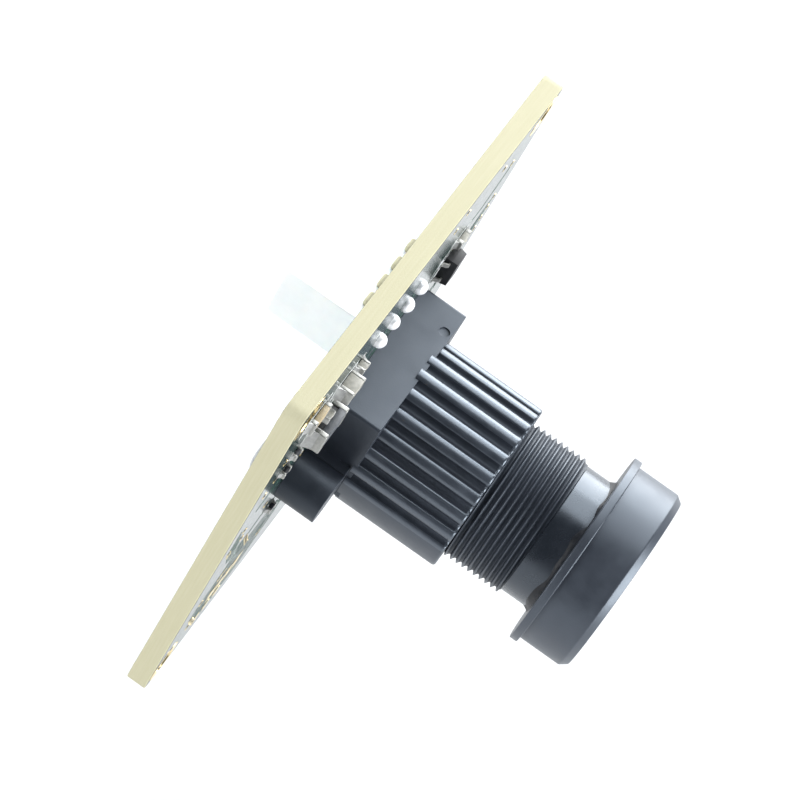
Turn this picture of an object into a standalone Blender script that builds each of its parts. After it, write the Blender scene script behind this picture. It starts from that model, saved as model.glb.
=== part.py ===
"""Board camera module: a square circuit board with an M12 lens holder, a threaded
lens with a flanged head, a four-pin wire-to-board header and surface-mount parts.

Frame, in metres: the origin is the centre of the four-hole pattern on the plane of
the rear copper rings, +Z is up, and the lens looks along -Y. Sizes are in
millimetres here and are turned into metres by MM.
"""

import math

import bmesh
import bpy
from mathutils import Matrix, Vector

MM = 0.001

# Circuit board
BOARD_SIDE = 38.0
BOARD_THICKNESS = 1.55
BOARD_CORNER_RADIUS = 1.0
RING_PROUD = 0.05
RING_RADIUS = 1.75
HOLE_PITCH = 34.0
HOLE_RADIUS = 1.1
Y_REAR = -RING_PROUD
Y_FRONT = Y_REAR - BOARD_THICKNESS

# Lens holder
BLOCK_SIDE = 13.1
BLOCK_CORNER_CUT = 4.0
BLOCK_CORNER_EASE = 0.2
BLOCK_HEIGHT = 3.7
EAR_SPACING = 18.0
EAR_RADIUS = 2.02
EAR_HEIGHT = 3.35
EAR_WEB_HALF = 1.25
EAR_BORE_RADIUS = 0.9
EAR_BORE_DEPTH = 2.8
BARREL_RADIUS = 6.85
BARREL_END = 12.06
GROOVE_RADIUS = 0.44
GROOVE_STEP = 15.0
GROOVE_START = 10.5
PLAIN_GROOVES = (0, 1, 12, 13)
CAVITY_SIDE = 8.5
CAVITY_DEPTH = 2.6
FILTER_SEAT_SIDE = 8.4
FILTER_SEAT_DEPTH = 4.0
HOLDER_GAP = 0.03

# Lens thread, shared by the lens barrel and the holder
PITCH = 0.5
THREAD_ROOT = 5.46
THREAD_CREST = 5.74
THREAD_CLEARANCE = 0.1
THREAD_SEGMENTS = 24
THREAD_ROOT_FLAT = 0.10
THREAD_FLANK = 0.16
THREAD_CREST_FLAT = 0.08
LENS_THREAD_START = 7.1
LENS_THREAD_TURNS = 19
HOLDER_THREAD_START = 5.1
HOLDER_THREAD_TURNS = 15

# Lens, as distances in front of the board's front face
LENS_REAR = 6.6
NECK_RADIUS = 5.38
NECK_END = 20.3
FLANGE_START = 19.37
FLANGE_END = 19.99
FLANGE_RADIUS = 7.82
HEAD_RADIUS = 7.42
HEAD_BEVEL_START = 23.37
HEAD_BEVEL_RADIUS = 7.02
LENS_FRONT = 23.92
GAP = 0.04

# Wire-to-board header on the rear face
HEADER_CENTRE_X = -1.05
HEADER_TOP_Z = 14.6
HEADER_WIDTH = 9.9
HEADER_DEPTH = 4.9
HEADER_HEIGHT = 5.95
HEADER_WALL = 0.55
HEADER_FLOOR = 1.7
FOOT_NOTCH = 0.38
PIN_COUNT = 4
PIN_PITCH = 2.0
PIN_SIDE = 0.5
PIN_Z = 11.7
PIN_REACH = 4.9
SOLDER_RADIUS = 0.62
SOLDER_HEIGHT = 0.7
PIN_HOLE_RADIUS = 0.5

ROUND_SEGMENTS = 40


def clear_scene():
    for old in list(bpy.data.objects):
        bpy.data.objects.remove(old, do_unlink=True)


def make_material(name, colour, roughness, metallic=0.0, transmission=0.0):
    material = bpy.data.materials.new(name)
    material.use_nodes = True
    shader = material.node_tree.nodes["Principled BSDF"]
    shader.inputs["Base Color"].default_value = (*colour, 1.0)
    shader.inputs["Roughness"].default_value = roughness
    shader.inputs["Metallic"].default_value = metallic
    shader.inputs["Transmission Weight"].default_value = transmission
    material.diffuse_color = (*colour, 1.0)
    material.roughness = roughness
    material.metallic = metallic
    return material


def make_empty(name, location, parent=None):
    empty = bpy.data.objects.new(name, None)
    empty.location = Vector(location) * MM
    empty.parent = parent
    bpy.context.scene.collection.objects.link(empty)
    return empty


def finish(name, bm, material, location, parent, smooth=False):
    """Turns a bmesh in millimetres into an object in metres with outward faces."""
    bmesh.ops.recalc_face_normals(bm, faces=bm.faces)
    bmesh.ops.scale(bm, vec=Vector((MM, MM, MM)), verts=bm.verts)
    mesh = bpy.data.meshes.new(name)
    bm.to_mesh(mesh)
    bm.free()
    if material is not None:
        mesh.materials.append(material)
    if smooth:
        mesh.shade_smooth()
        mesh.set_sharp_from_angle(angle=math.radians(35))
    item = bpy.data.objects.new(name, mesh)
    item.location = Vector(location) * MM
    item.parent = parent
    bpy.context.scene.collection.objects.link(item)
    return item


def box_into(bm, size, centre):
    """Adds a box to a bmesh."""
    made = bmesh.ops.create_cube(bm, size=1.0)
    bmesh.ops.scale(bm, vec=Vector(size), verts=made["verts"])
    bmesh.ops.translate(bm, vec=Vector(centre), verts=made["verts"])
    return made["verts"]


def rod_into(bm, radius, start_y, end_y, centre_x, centre_z, segments=16):
    """Adds a cylinder along Y to a bmesh."""
    middle = (centre_x, (start_y + end_y) / 2, centre_z)
    turn = Matrix.Translation(middle) @ Matrix.Rotation(math.radians(90), 4, "X")
    bmesh.ops.create_cone(
        bm,
        cap_ends=True,
        segments=segments,
        radius1=radius,
        radius2=radius,
        depth=abs(end_y - start_y),
        matrix=turn,
    )


def make_cutter(name, bm, location, parent):
    cutter = finish(name, bm, None, location, parent)
    cutter.hide_render = True
    cutter.display_type = "WIRE"
    return cutter


def add_boolean(item, other, operation):
    modifier = item.modifiers.new(f"{operation.title()} {other.name}", "BOOLEAN")
    modifier.operation = operation
    modifier.object = other
    modifier.solver = "EXACT"
    return modifier


def add_bevel(item, width, segments=1, angle=40):
    modifier = item.modifiers.new("Edge bevel", "BEVEL")
    modifier.width = width * MM
    modifier.segments = segments
    modifier.limit_method = "ANGLE"
    modifier.angle_limit = math.radians(angle)
    return modifier


def make_ring(bm, radius, forward, segments):
    """A ring of points round the lens axis, forward of the axis empty."""
    points = []
    for index in range(segments):
        angle = 2 * math.pi * index / segments
        point = (radius * math.cos(angle), -forward, radius * math.sin(angle))
        points.append(bm.verts.new(point))
    return points


def bridge(bm, first, second):
    count = len(first)
    for index in range(count):
        after = (index + 1) % count
        bm.faces.new((first[index], first[after], second[after], second[index]))


def thread_profile(root, crest):
    """Radius and distance of the four corners of one pitch, from a root flat."""
    rise = THREAD_ROOT_FLAT + THREAD_FLANK
    fall = rise + THREAD_CREST_FLAT
    return ((root, 0.0), (root, THREAD_ROOT_FLAT), (crest, rise), (crest, fall))


def add_thread(bm, lower, upper, start, turns, root, crest):
    """Fills the gap between two rings with a right-handed helical thread.

    Each column of points stands one step further round and a fraction of a pitch
    further forward than the last. Column 0 is one pitch longer, and it closes the
    surface at both ends as a short run-out face.
    """
    segments = len(lower)
    profile = thread_profile(root, crest)
    corners = len(profile)
    rows = corners * turns
    columns = []
    for index in range(segments):
        angle = 2 * math.pi * index / segments
        lift = start + PITCH * index / segments
        count = rows + 1
        if index == 0:
            count = rows + corners + 1
        column = []
        for row in range(count):
            radius, offset = profile[row % corners]
            forward = lift + PITCH * (row // corners) + offset
            point = (radius * math.cos(angle), -forward, radius * math.sin(angle))
            column.append(bm.verts.new(point))
        columns.append(column)
    first = columns[0]
    last = columns[-1]
    for index in range(segments - 1):
        here = columns[index]
        there = columns[index + 1]
        for row in range(rows):
            bm.faces.new((here[row], there[row], there[row + 1], here[row + 1]))
        bm.faces.new((lower[index], lower[index + 1], there[0], here[0]))
    for row in range(rows):
        above = row + corners
        bm.faces.new((last[row], first[above], first[above + 1], last[row + 1]))
    # Run-out at the lower end, a fan from the last column to column 0
    bm.faces.new((last[0], lower[-1], lower[0]))
    bm.faces.new((last[0], lower[0], first[0]))
    for row in range(corners):
        bm.faces.new((last[0], first[row], first[row + 1]))
    # Upper end: plain faces, then the matching fan from column 1
    second = columns[1]
    for index in range(1, segments - 1):
        here = columns[index][rows]
        there = columns[index + 1][rows]
        bm.faces.new((here, there, upper[index + 1], upper[index]))
    bm.faces.new((last[rows], first[rows + corners], upper[0], upper[-1]))
    bm.faces.new((second[rows], upper[1], upper[0]))
    bm.faces.new((second[rows], upper[0], first[rows + corners]))
    for row in range(rows, rows + corners):
        bm.faces.new((second[rows], first[row + 1], first[row]))


def turned(name, profile, material, parent, segments=ROUND_SEGMENTS, closed=True):
    """A turned solid round the lens axis.

    The profile lists (radius, forward) corners. A closed profile is a ring-shaped
    solid. An open one starts and ends on the axis, where flat caps close it.
    """
    bm = bmesh.new()
    rings = [make_ring(bm, radius, forward, segments) for radius, forward in profile]
    for first, second in zip(rings, rings[1:]):
        bridge(bm, first, second)
    if closed:
        bridge(bm, rings[-1], rings[0])
    else:
        bm.faces.new(rings[0])
        bm.faces.new(rings[-1])
    return finish(name, bm, material, (0, 0, 0), parent, smooth=True)


def arc_profile(radius, edge, crown, steps, outward):
    """Corners of a spherical lens face from its rim to near the axis."""
    sphere = (radius * radius + crown * crown) / (2 * crown)
    corners = []
    for step in range(steps):
        at = radius * (1 - step / steps)
        sag = math.sqrt(sphere * sphere - at * at) - (sphere - crown)
        corners.append((at, edge + outward * sag))
    return corners


def lens_element(name, radius, rear, front, rear_crown, front_crown, material, parent):
    """A glass element with a spherical face at each end. A crown below zero is hollow."""
    bm = bmesh.new()
    segments = 24
    steps = 4
    rear_sign = -1 if rear_crown > 0 else 1
    front_sign = 1 if front_crown > 0 else -1
    rear_face = arc_profile(radius, rear, abs(rear_crown), steps, rear_sign)
    front_face = arc_profile(radius, front, abs(front_crown), steps, front_sign)
    profile = list(reversed(rear_face)) + front_face
    rings = [make_ring(bm, at, forward, segments) for at, forward in profile]
    for first, second in zip(rings, rings[1:]):
        bridge(bm, first, second)
    bm.faces.new(rings[0])
    bm.faces.new(rings[-1])
    return finish(name, bm, material, (0, 0, 0), parent, smooth=True)


def rounded_square(bm, side, radius, forward, segments=5):
    """A closed loop of points, a square with round corners, facing the lens axis."""
    half = side / 2 - radius
    loop = []
    for quarter, (sign_x, sign_z) in enumerate(((1, 1), (-1, 1), (-1, -1), (1, -1))):
        for step in range(segments + 1):
            angle = math.radians(90 * quarter + 90 * step / segments)
            x = sign_x * half + radius * math.cos(angle)
            z = sign_z * half + radius * math.sin(angle)
            loop.append(bm.verts.new((x, -forward, z)))
    return loop


def rounded_plate(bm, side, radius, rear, front, segments=5):
    lower = rounded_square(bm, side, radius, rear, segments)
    upper = rounded_square(bm, side, radius, front, segments)
    bridge(bm, lower, upper)
    bm.faces.new(lower)
    bm.faces.new(upper)


def block_outline():
    """Corners of the block: square at the top, cut off at its two lower corners."""
    half = BLOCK_SIDE / 2
    eased = half - BLOCK_CORNER_EASE
    cut = half - BLOCK_CORNER_CUT
    return (
        (half, eased),
        (eased, half),
        (-eased, half),
        (-half, eased),
        (-half, -cut),
        (-cut, -half),
        (cut, -half),
        (half, -cut),
    )


def prism_into(bm, outline, rear, front):
    """Adds a straight-sided solid with one outline, facing the lens axis."""
    lower = [bm.verts.new((x, -rear, z)) for x, z in outline]
    upper = [bm.verts.new((x, -front, z)) for x, z in outline]
    bridge(bm, lower, upper)
    bm.faces.new(lower)
    bm.faces.new(upper)


def pin_positions():
    first = HEADER_CENTRE_X - PIN_PITCH * (PIN_COUNT - 1) / 2
    return [first + PIN_PITCH * index for index in range(PIN_COUNT)]


def make_board(material, parent):
    bm = bmesh.new()
    rounded_plate(bm, BOARD_SIDE, BOARD_CORNER_RADIUS, -BOARD_THICKNESS, 0.0)
    board = finish("circuit_board", bm, material, (0, 0, 0), parent)
    corners = [(x, z) for x in (-1, 1) for z in (-1, 1)]
    rings = bmesh.new()
    for x, z in corners:
        rod_into(
            rings,
            RING_RADIUS,
            -RING_PROUD,
            BOARD_THICKNESS + RING_PROUD,
            x * HOLE_PITCH / 2,
            z * HOLE_PITCH / 2,
            24,
        )
    ring_tool = make_cutter("tool_hole_rings", rings, (0, 0, 0), parent)
    add_boolean(board, ring_tool, "UNION")
    drills = bmesh.new()
    for x, z in corners:
        rod_into(drills, HOLE_RADIUS, -1, 3, x * HOLE_PITCH / 2, z * HOLE_PITCH / 2, 24)
    for x in pin_positions():
        rod_into(drills, PIN_HOLE_RADIUS, -1, 3, x, PIN_Z, 12)
    for side in (-1, 1):
        rod_into(drills, 1.1, -1, 3, side * EAR_SPACING / 2, 0, 20)
    drill_tool = make_cutter("tool_board_drills", drills, (0, 0, 0), parent)
    add_boolean(board, drill_tool, "DIFFERENCE")
    return board


def make_holder(material, parent):
    """Block, two screw ears in line and a grooved barrel with a threaded bore."""
    bm = bmesh.new()
    prism_into(bm, block_outline(), HOLDER_GAP, BLOCK_HEIGHT)
    holder = finish("lens_holder", bm, material, (0, 0, 0), parent, smooth=True)

    barrel = bmesh.new()
    segments = 48
    lower = make_ring(barrel, BARREL_RADIUS, BLOCK_HEIGHT - 0.03, segments)
    rim = make_ring(barrel, BARREL_RADIUS - 0.06, BARREL_END - 0.15, segments)
    upper = make_ring(barrel, BARREL_RADIUS - 0.2, BARREL_END, segments)
    bridge(barrel, lower, rim)
    bridge(barrel, rim, upper)
    barrel.faces.new(lower)
    barrel.faces.new(upper)
    barrel_tool = make_cutter("tool_holder_barrel", barrel, (0, 0, 0), parent)

    for side, label in ((-1, "left"), (1, "right")):
        lobe = bmesh.new()
        centre = side * EAR_SPACING / 2
        rod_into(lobe, EAR_RADIUS, -EAR_HEIGHT, -HOLDER_GAP, centre, 0, 28)
        lobe_tool = make_cutter(f"tool_ear_lobe_{label}", lobe, (0, 0, 0), parent)
        web = bmesh.new()
        reach = EAR_SPACING / 2 - 4
        height = EAR_HEIGHT - 0.05 - HOLDER_GAP
        middle = (side * (4 + reach / 2), -HOLDER_GAP - height / 2, 0)
        box_into(web, (reach, height, 2 * EAR_WEB_HALF), middle)
        web_tool = make_cutter(f"tool_ear_web_{label}", web, (0, 0, 0), parent)
        add_boolean(holder, web_tool, "UNION")
        add_boolean(holder, lobe_tool, "UNION")

    grooves = bmesh.new()
    for index in range(24):
        if index in PLAIN_GROOVES:
            continue
        angle = math.radians(GROOVE_START + GROOVE_STEP * index)
        x = (BARREL_RADIUS + 0.02) * math.cos(angle)
        z = (BARREL_RADIUS + 0.02) * math.sin(angle)
        rod_into(grooves, GROOVE_RADIUS, -BARREL_END - 1, -0.2, x, z, 8)
    groove_tool = make_cutter("tool_barrel_grooves", grooves, (0, 0, 0), parent)
    add_boolean(barrel_tool, groove_tool, "DIFFERENCE")
    add_boolean(holder, barrel_tool, "UNION")

    cavity = bmesh.new()
    box_into(cavity, (CAVITY_SIDE, CAVITY_DEPTH + 1, CAVITY_SIDE), (0, (1 - CAVITY_DEPTH) / 2, 0))
    cavity_tool = make_cutter("tool_sensor_cavity", cavity, (0, 0, 0), parent)
    add_boolean(holder, cavity_tool, "DIFFERENCE")
    seat = bmesh.new()
    size = (FILTER_SEAT_SIDE, FILTER_SEAT_DEPTH, FILTER_SEAT_SIDE)
    box_into(seat, size, (0, -FILTER_SEAT_DEPTH / 2 - 0.1, 0))
    seat_tool = make_cutter("tool_filter_seat", seat, (0, 0, 0), parent)
    add_boolean(holder, seat_tool, "DIFFERENCE")

    bore = bmesh.new()
    minor = THREAD_ROOT + THREAD_CLEARANCE
    major = THREAD_CREST + THREAD_CLEARANCE
    rings = [
        make_ring(bore, 3.6, 3.6, THREAD_SEGMENTS),
        make_ring(bore, 3.6, 4.6, THREAD_SEGMENTS),
        make_ring(bore, minor, 4.6, THREAD_SEGMENTS),
        make_ring(bore, minor, HOLDER_THREAD_START - 0.1, THREAD_SEGMENTS),
    ]
    for first, second in zip(rings, rings[1:]):
        bridge(bore, first, second)
    thread_end = HOLDER_THREAD_START + PITCH * (HOLDER_THREAD_TURNS + 1)
    above = make_ring(bore, minor, thread_end + 0.1, THREAD_SEGMENTS)
    add_thread(bore, rings[-1], above, HOLDER_THREAD_START, HOLDER_THREAD_TURNS, minor, major)
    bore.faces.new(rings[0])
    bore.faces.new(above)
    bore_tool = make_cutter("tool_threaded_bore", bore, (0, 0, 0), parent)
    add_boolean(holder, bore_tool, "DIFFERENCE")

    screws = bmesh.new()
    for side in (-1, 1):
        centre = side * EAR_SPACING / 2
        rod_into(screws, EAR_BORE_RADIUS, -EAR_BORE_DEPTH, 1, centre, 0, 16)
    screw_tool = make_cutter("tool_ear_bores", screws, (0, 0, 0), parent)
    add_boolean(holder, screw_tool, "DIFFERENCE")
    return holder


def make_lens_barrel(material, parent):
    """Threaded tube with a plain neck, and stepped inside for its elements."""
    bm = bmesh.new()
    segments = THREAD_SEGMENTS
    lower = make_ring(bm, THREAD_ROOT, LENS_THREAD_START - 0.08, segments)
    thread_end = LENS_THREAD_START + PITCH * (LENS_THREAD_TURNS + 1)
    upper = make_ring(bm, THREAD_ROOT, thread_end + 0.06, segments)
    add_thread(bm, lower, upper, LENS_THREAD_START, LENS_THREAD_TURNS, THREAD_ROOT, THREAD_CREST)
    outer = [
        make_ring(bm, NECK_RADIUS, thread_end + 0.12, segments),
        make_ring(bm, NECK_RADIUS, NECK_END, segments),
        make_ring(bm, 4.75, NECK_END, segments),
        make_ring(bm, 4.75, 14.2, segments),
        make_ring(bm, 3.0, 14.2, segments),
        make_ring(bm, 3.0, 13.6, segments),
        make_ring(bm, 4.2, 13.6, segments),
        make_ring(bm, 4.2, LENS_REAR, segments),
        make_ring(bm, THREAD_ROOT - 0.25, LENS_REAR, segments),
    ]
    bridge(bm, upper, outer[0])
    for first, second in zip(outer, outer[1:]):
        bridge(bm, first, second)
    bridge(bm, outer[-1], lower)
    return finish("lens_barrel", bm, material, (0, 0, 0), parent, smooth=True)


def make_lens_head(material, parent):
    """Flange and head cup that sits on the neck."""
    bore = NECK_RADIUS + GAP
    profile = [
        (bore, FLANGE_START),
        (FLANGE_RADIUS, FLANGE_START),
        (FLANGE_RADIUS, FLANGE_END),
        (HEAD_RADIUS, FLANGE_END),
        (HEAD_RADIUS, HEAD_BEVEL_START),
        (HEAD_BEVEL_RADIUS, LENS_FRONT),
        (6.55, LENS_FRONT),
        (6.35, LENS_FRONT - 0.3),
        (6.35, 20.75),
        (4.3, 20.75),
        (4.3, NECK_END + GAP),
        (bore, NECK_END + GAP),
    ]
    return turned("lens_head", profile, material, parent, 36)


def make_header(material, parent):
    """Shrouded four-pin header with its mouth to the rear and notches in its foot."""
    rear = BOARD_THICKNESS + HOLDER_GAP
    centre_z = HEADER_TOP_Z - HEADER_DEPTH / 2
    bm = bmesh.new()
    size = (HEADER_WIDTH, HEADER_HEIGHT, HEADER_DEPTH)
    box_into(bm, size, (HEADER_CENTRE_X, rear + HEADER_HEIGHT / 2, centre_z))
    header = finish("connector_housing", bm, material, (0, 0, 0), parent)
    well = bmesh.new()
    depth = HEADER_HEIGHT - HEADER_FLOOR
    inner = (HEADER_WIDTH - 2 * HEADER_WALL, depth + 1, HEADER_DEPTH - 2 * HEADER_WALL)
    middle = rear + HEADER_FLOOR + (depth + 1) / 2
    box_into(well, inner, (HEADER_CENTRE_X, middle, centre_z))
    well_tool = make_cutter("tool_header_well", well, (0, 0, 0), parent)
    add_boolean(header, well_tool, "DIFFERENCE")
    cuts = bmesh.new()
    for x in pin_positions():
        side = PIN_SIDE + 0.1
        box_into(cuts, (side, HEADER_FLOOR + 2, side), (x, rear + HEADER_FLOOR / 2, PIN_Z))
        box_into(cuts, (1.15, 2 * FOOT_NOTCH, 1.1), (x, rear, HEADER_TOP_Z))
    for side in (-1, 1):
        x = HEADER_CENTRE_X + side * 2.6
        z = HEADER_TOP_Z - HEADER_DEPTH
        box_into(cuts, (1.4, 4.4, 1.5), (x, rear + HEADER_HEIGHT - 1.6, z))
    cut_tool = make_cutter("tool_header_cuts", cuts, (0, 0, 0), parent)
    add_boolean(header, cut_tool, "DIFFERENCE")
    return header


def make_terminals(material, parent):
    """Square pins, each with a solder fillet that fills its hole and domes at the front."""
    solder = bmesh.new()
    segments = 14
    corners = (
        (0.34, BOARD_THICKNESS - 0.05),
        (0.42, -0.02),
        (SOLDER_RADIUS, -0.03),
        (SOLDER_RADIUS, -0.4 * SOLDER_HEIGHT),
        (SOLDER_RADIUS * 0.85, -0.7 * SOLDER_HEIGHT),
        (SOLDER_RADIUS * 0.5, -0.93 * SOLDER_HEIGHT),
        (SOLDER_RADIUS * 0.2, -SOLDER_HEIGHT),
    )
    rings = []
    for radius, along in corners:
        ring = []
        for index in range(segments):
            angle = 2 * math.pi * index / segments
            point = (radius * math.cos(angle), along, radius * math.sin(angle))
            ring.append(solder.verts.new(point))
        rings.append(ring)
    for first, second in zip(rings, rings[1:]):
        bridge(solder, first, second)
    solder.faces.new(rings[0])
    solder.faces.new(rings[-1])
    solder_tool = make_cutter("tool_solder_fillet", solder, (0, 0, 0), parent)
    terminals = []
    for number, x in enumerate(pin_positions(), start=1):
        bm = bmesh.new()
        length = PIN_REACH + BOARD_THICKNESS
        box_into(bm, (PIN_SIDE, length, PIN_SIDE), (0, length / 2, 0))
        name = f"connector_terminal_{number}"
        terminal = finish(name, bm, material, (x, 0, PIN_Z), parent)
        tool = solder_tool
        if number > 1:
            tool = solder_tool.copy()
            bpy.context.scene.collection.objects.link(tool)
        tool.name = f"tool_solder_fillet_{number}"
        tool.location = terminal.location
        add_boolean(terminal, tool, "UNION")
        terminals.append(terminal)
    return terminals


def make_screw(name, x, material, parent):
    """Pan-head screw from the rear with a cross recess."""
    bm = bmesh.new()
    segments = 24
    rear = BOARD_THICKNESS + 0.03
    corners = (
        (0.75, -EAR_BORE_DEPTH + 0.3),
        (0.82, -EAR_BORE_DEPTH + 0.6),
        (0.82, rear),
        (1.75, rear),
        (1.75, rear + 0.5),
        (1.45, rear + 0.95),
        (0.9, rear + 1.15),
    )
    rings = []
    for radius, along in corners:
        ring = []
        for index in range(segments):
            angle = 2 * math.pi * index / segments
            ring.append(bm.verts.new((radius * math.cos(angle), along, radius * math.sin(angle))))
        rings.append(ring)
    for first, second in zip(rings, rings[1:]):
        bridge(bm, first, second)
    bm.faces.new(rings[0])
    bm.faces.new(rings[-1])
    screw = finish(name, bm, material, (x, 0, 0), parent, smooth=True)
    for number, size in enumerate(((1.7, 1.2, 0.36), (0.36, 1.2, 1.7)), start=1):
        slot = bmesh.new()
        box_into(slot, size, (0, rear + 1.25, 0))
        slot_tool = make_cutter(f"tool_{name}_slot_{number}", slot, (x, 0, 0), parent)
        add_boolean(screw, slot_tool, "DIFFERENCE")
    return screw


def make_chip(name, size, x, z, material, parent, rear=False, cap=0.25, proud=0.03):
    """Two-terminal chip: a body with slightly larger metal ends.

    size is its length along X, height off the board and width along Z.
    """
    length, height, width = size
    bm = bmesh.new()
    corners = (
        (-length / 2, proud),
        (-length / 2 + cap, proud),
        (-length / 2 + cap, 0.0),
        (length / 2 - cap, 0.0),
        (length / 2 - cap, proud),
        (length / 2, proud),
    )
    base = HOLDER_GAP
    loops = []
    for at, extra in corners:
        low = base - extra / 3
        high = base + height + extra
        half = width / 2 + extra
        ring = ((low, -half), (high, -half), (high, half), (low, half))
        loops.append([bm.verts.new((at, -up, across)) for up, across in ring])
    for first, second in zip(loops, loops[1:]):
        bridge(bm, first, second)
    bm.faces.new(loops[0])
    bm.faces.new(loops[-1])
    if rear:
        flip = Matrix.Rotation(math.pi, 4, "Z")
        bmesh.ops.transform(bm, matrix=flip, verts=bm.verts)
        return finish(name, bm, material, (x, BOARD_THICKNESS, z), parent)
    return finish(name, bm, material, (x, 0, z), parent)


def make_package(name, size, x, z, material, parent, rear=False, lift=0.05, bevel=0.06):
    """Plain moulded or metal package."""
    length, height, width = size
    bm = bmesh.new()
    if rear:
        centre = BOARD_THICKNESS + lift + height / 2
    else:
        centre = -lift - height / 2
    box_into(bm, size, (0, 0, 0))
    item = finish(name, bm, material, (x, centre, z), parent)
    if bevel:
        add_bevel(item, bevel)
    return item


def add_legs(item, legs, parent, x, z):
    """Joins bent legs to a package, each from a list of boxes (size, centre)."""
    for number, (size, centre) in enumerate(legs, start=1):
        bm = bmesh.new()
        box_into(bm, size, centre)
        tool = make_cutter(f"tool_{item.name}_leg_{number}", bm, (x, 0, z), parent)
        add_boolean(item, tool, "UNION")


def leg_boxes(side, across, body_half, reach, height, rear=False):
    """The shoulder and the foot of one leg, side is its X direction."""
    sign = 1 if rear else -1
    base = BOARD_THICKNESS if rear else 0.0
    shoulder = (
        (0.5, height, 0.38),
        (side * (body_half + 0.1), base + sign * (0.03 + height / 2), across),
    )
    foot = (
        (reach, 0.16, 0.4),
        (side * (body_half + 0.3 + reach / 2), base + sign * (0.03 + 0.08), across),
    )
    return shoulder, foot


def make_optics(material, parent):
    front = lens_element("front_element", 6.2, 20.85, 21.95, -0.6, 1.1, material, parent)
    second = lens_element("second_element", 4.65, 17.3, 18.9, 0.6, -0.5, material, parent)
    rear = lens_element("rear_element", 4.1, 8.6, 10.6, 0.5, 0.7, material, parent)
    return front, second, rear


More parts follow.
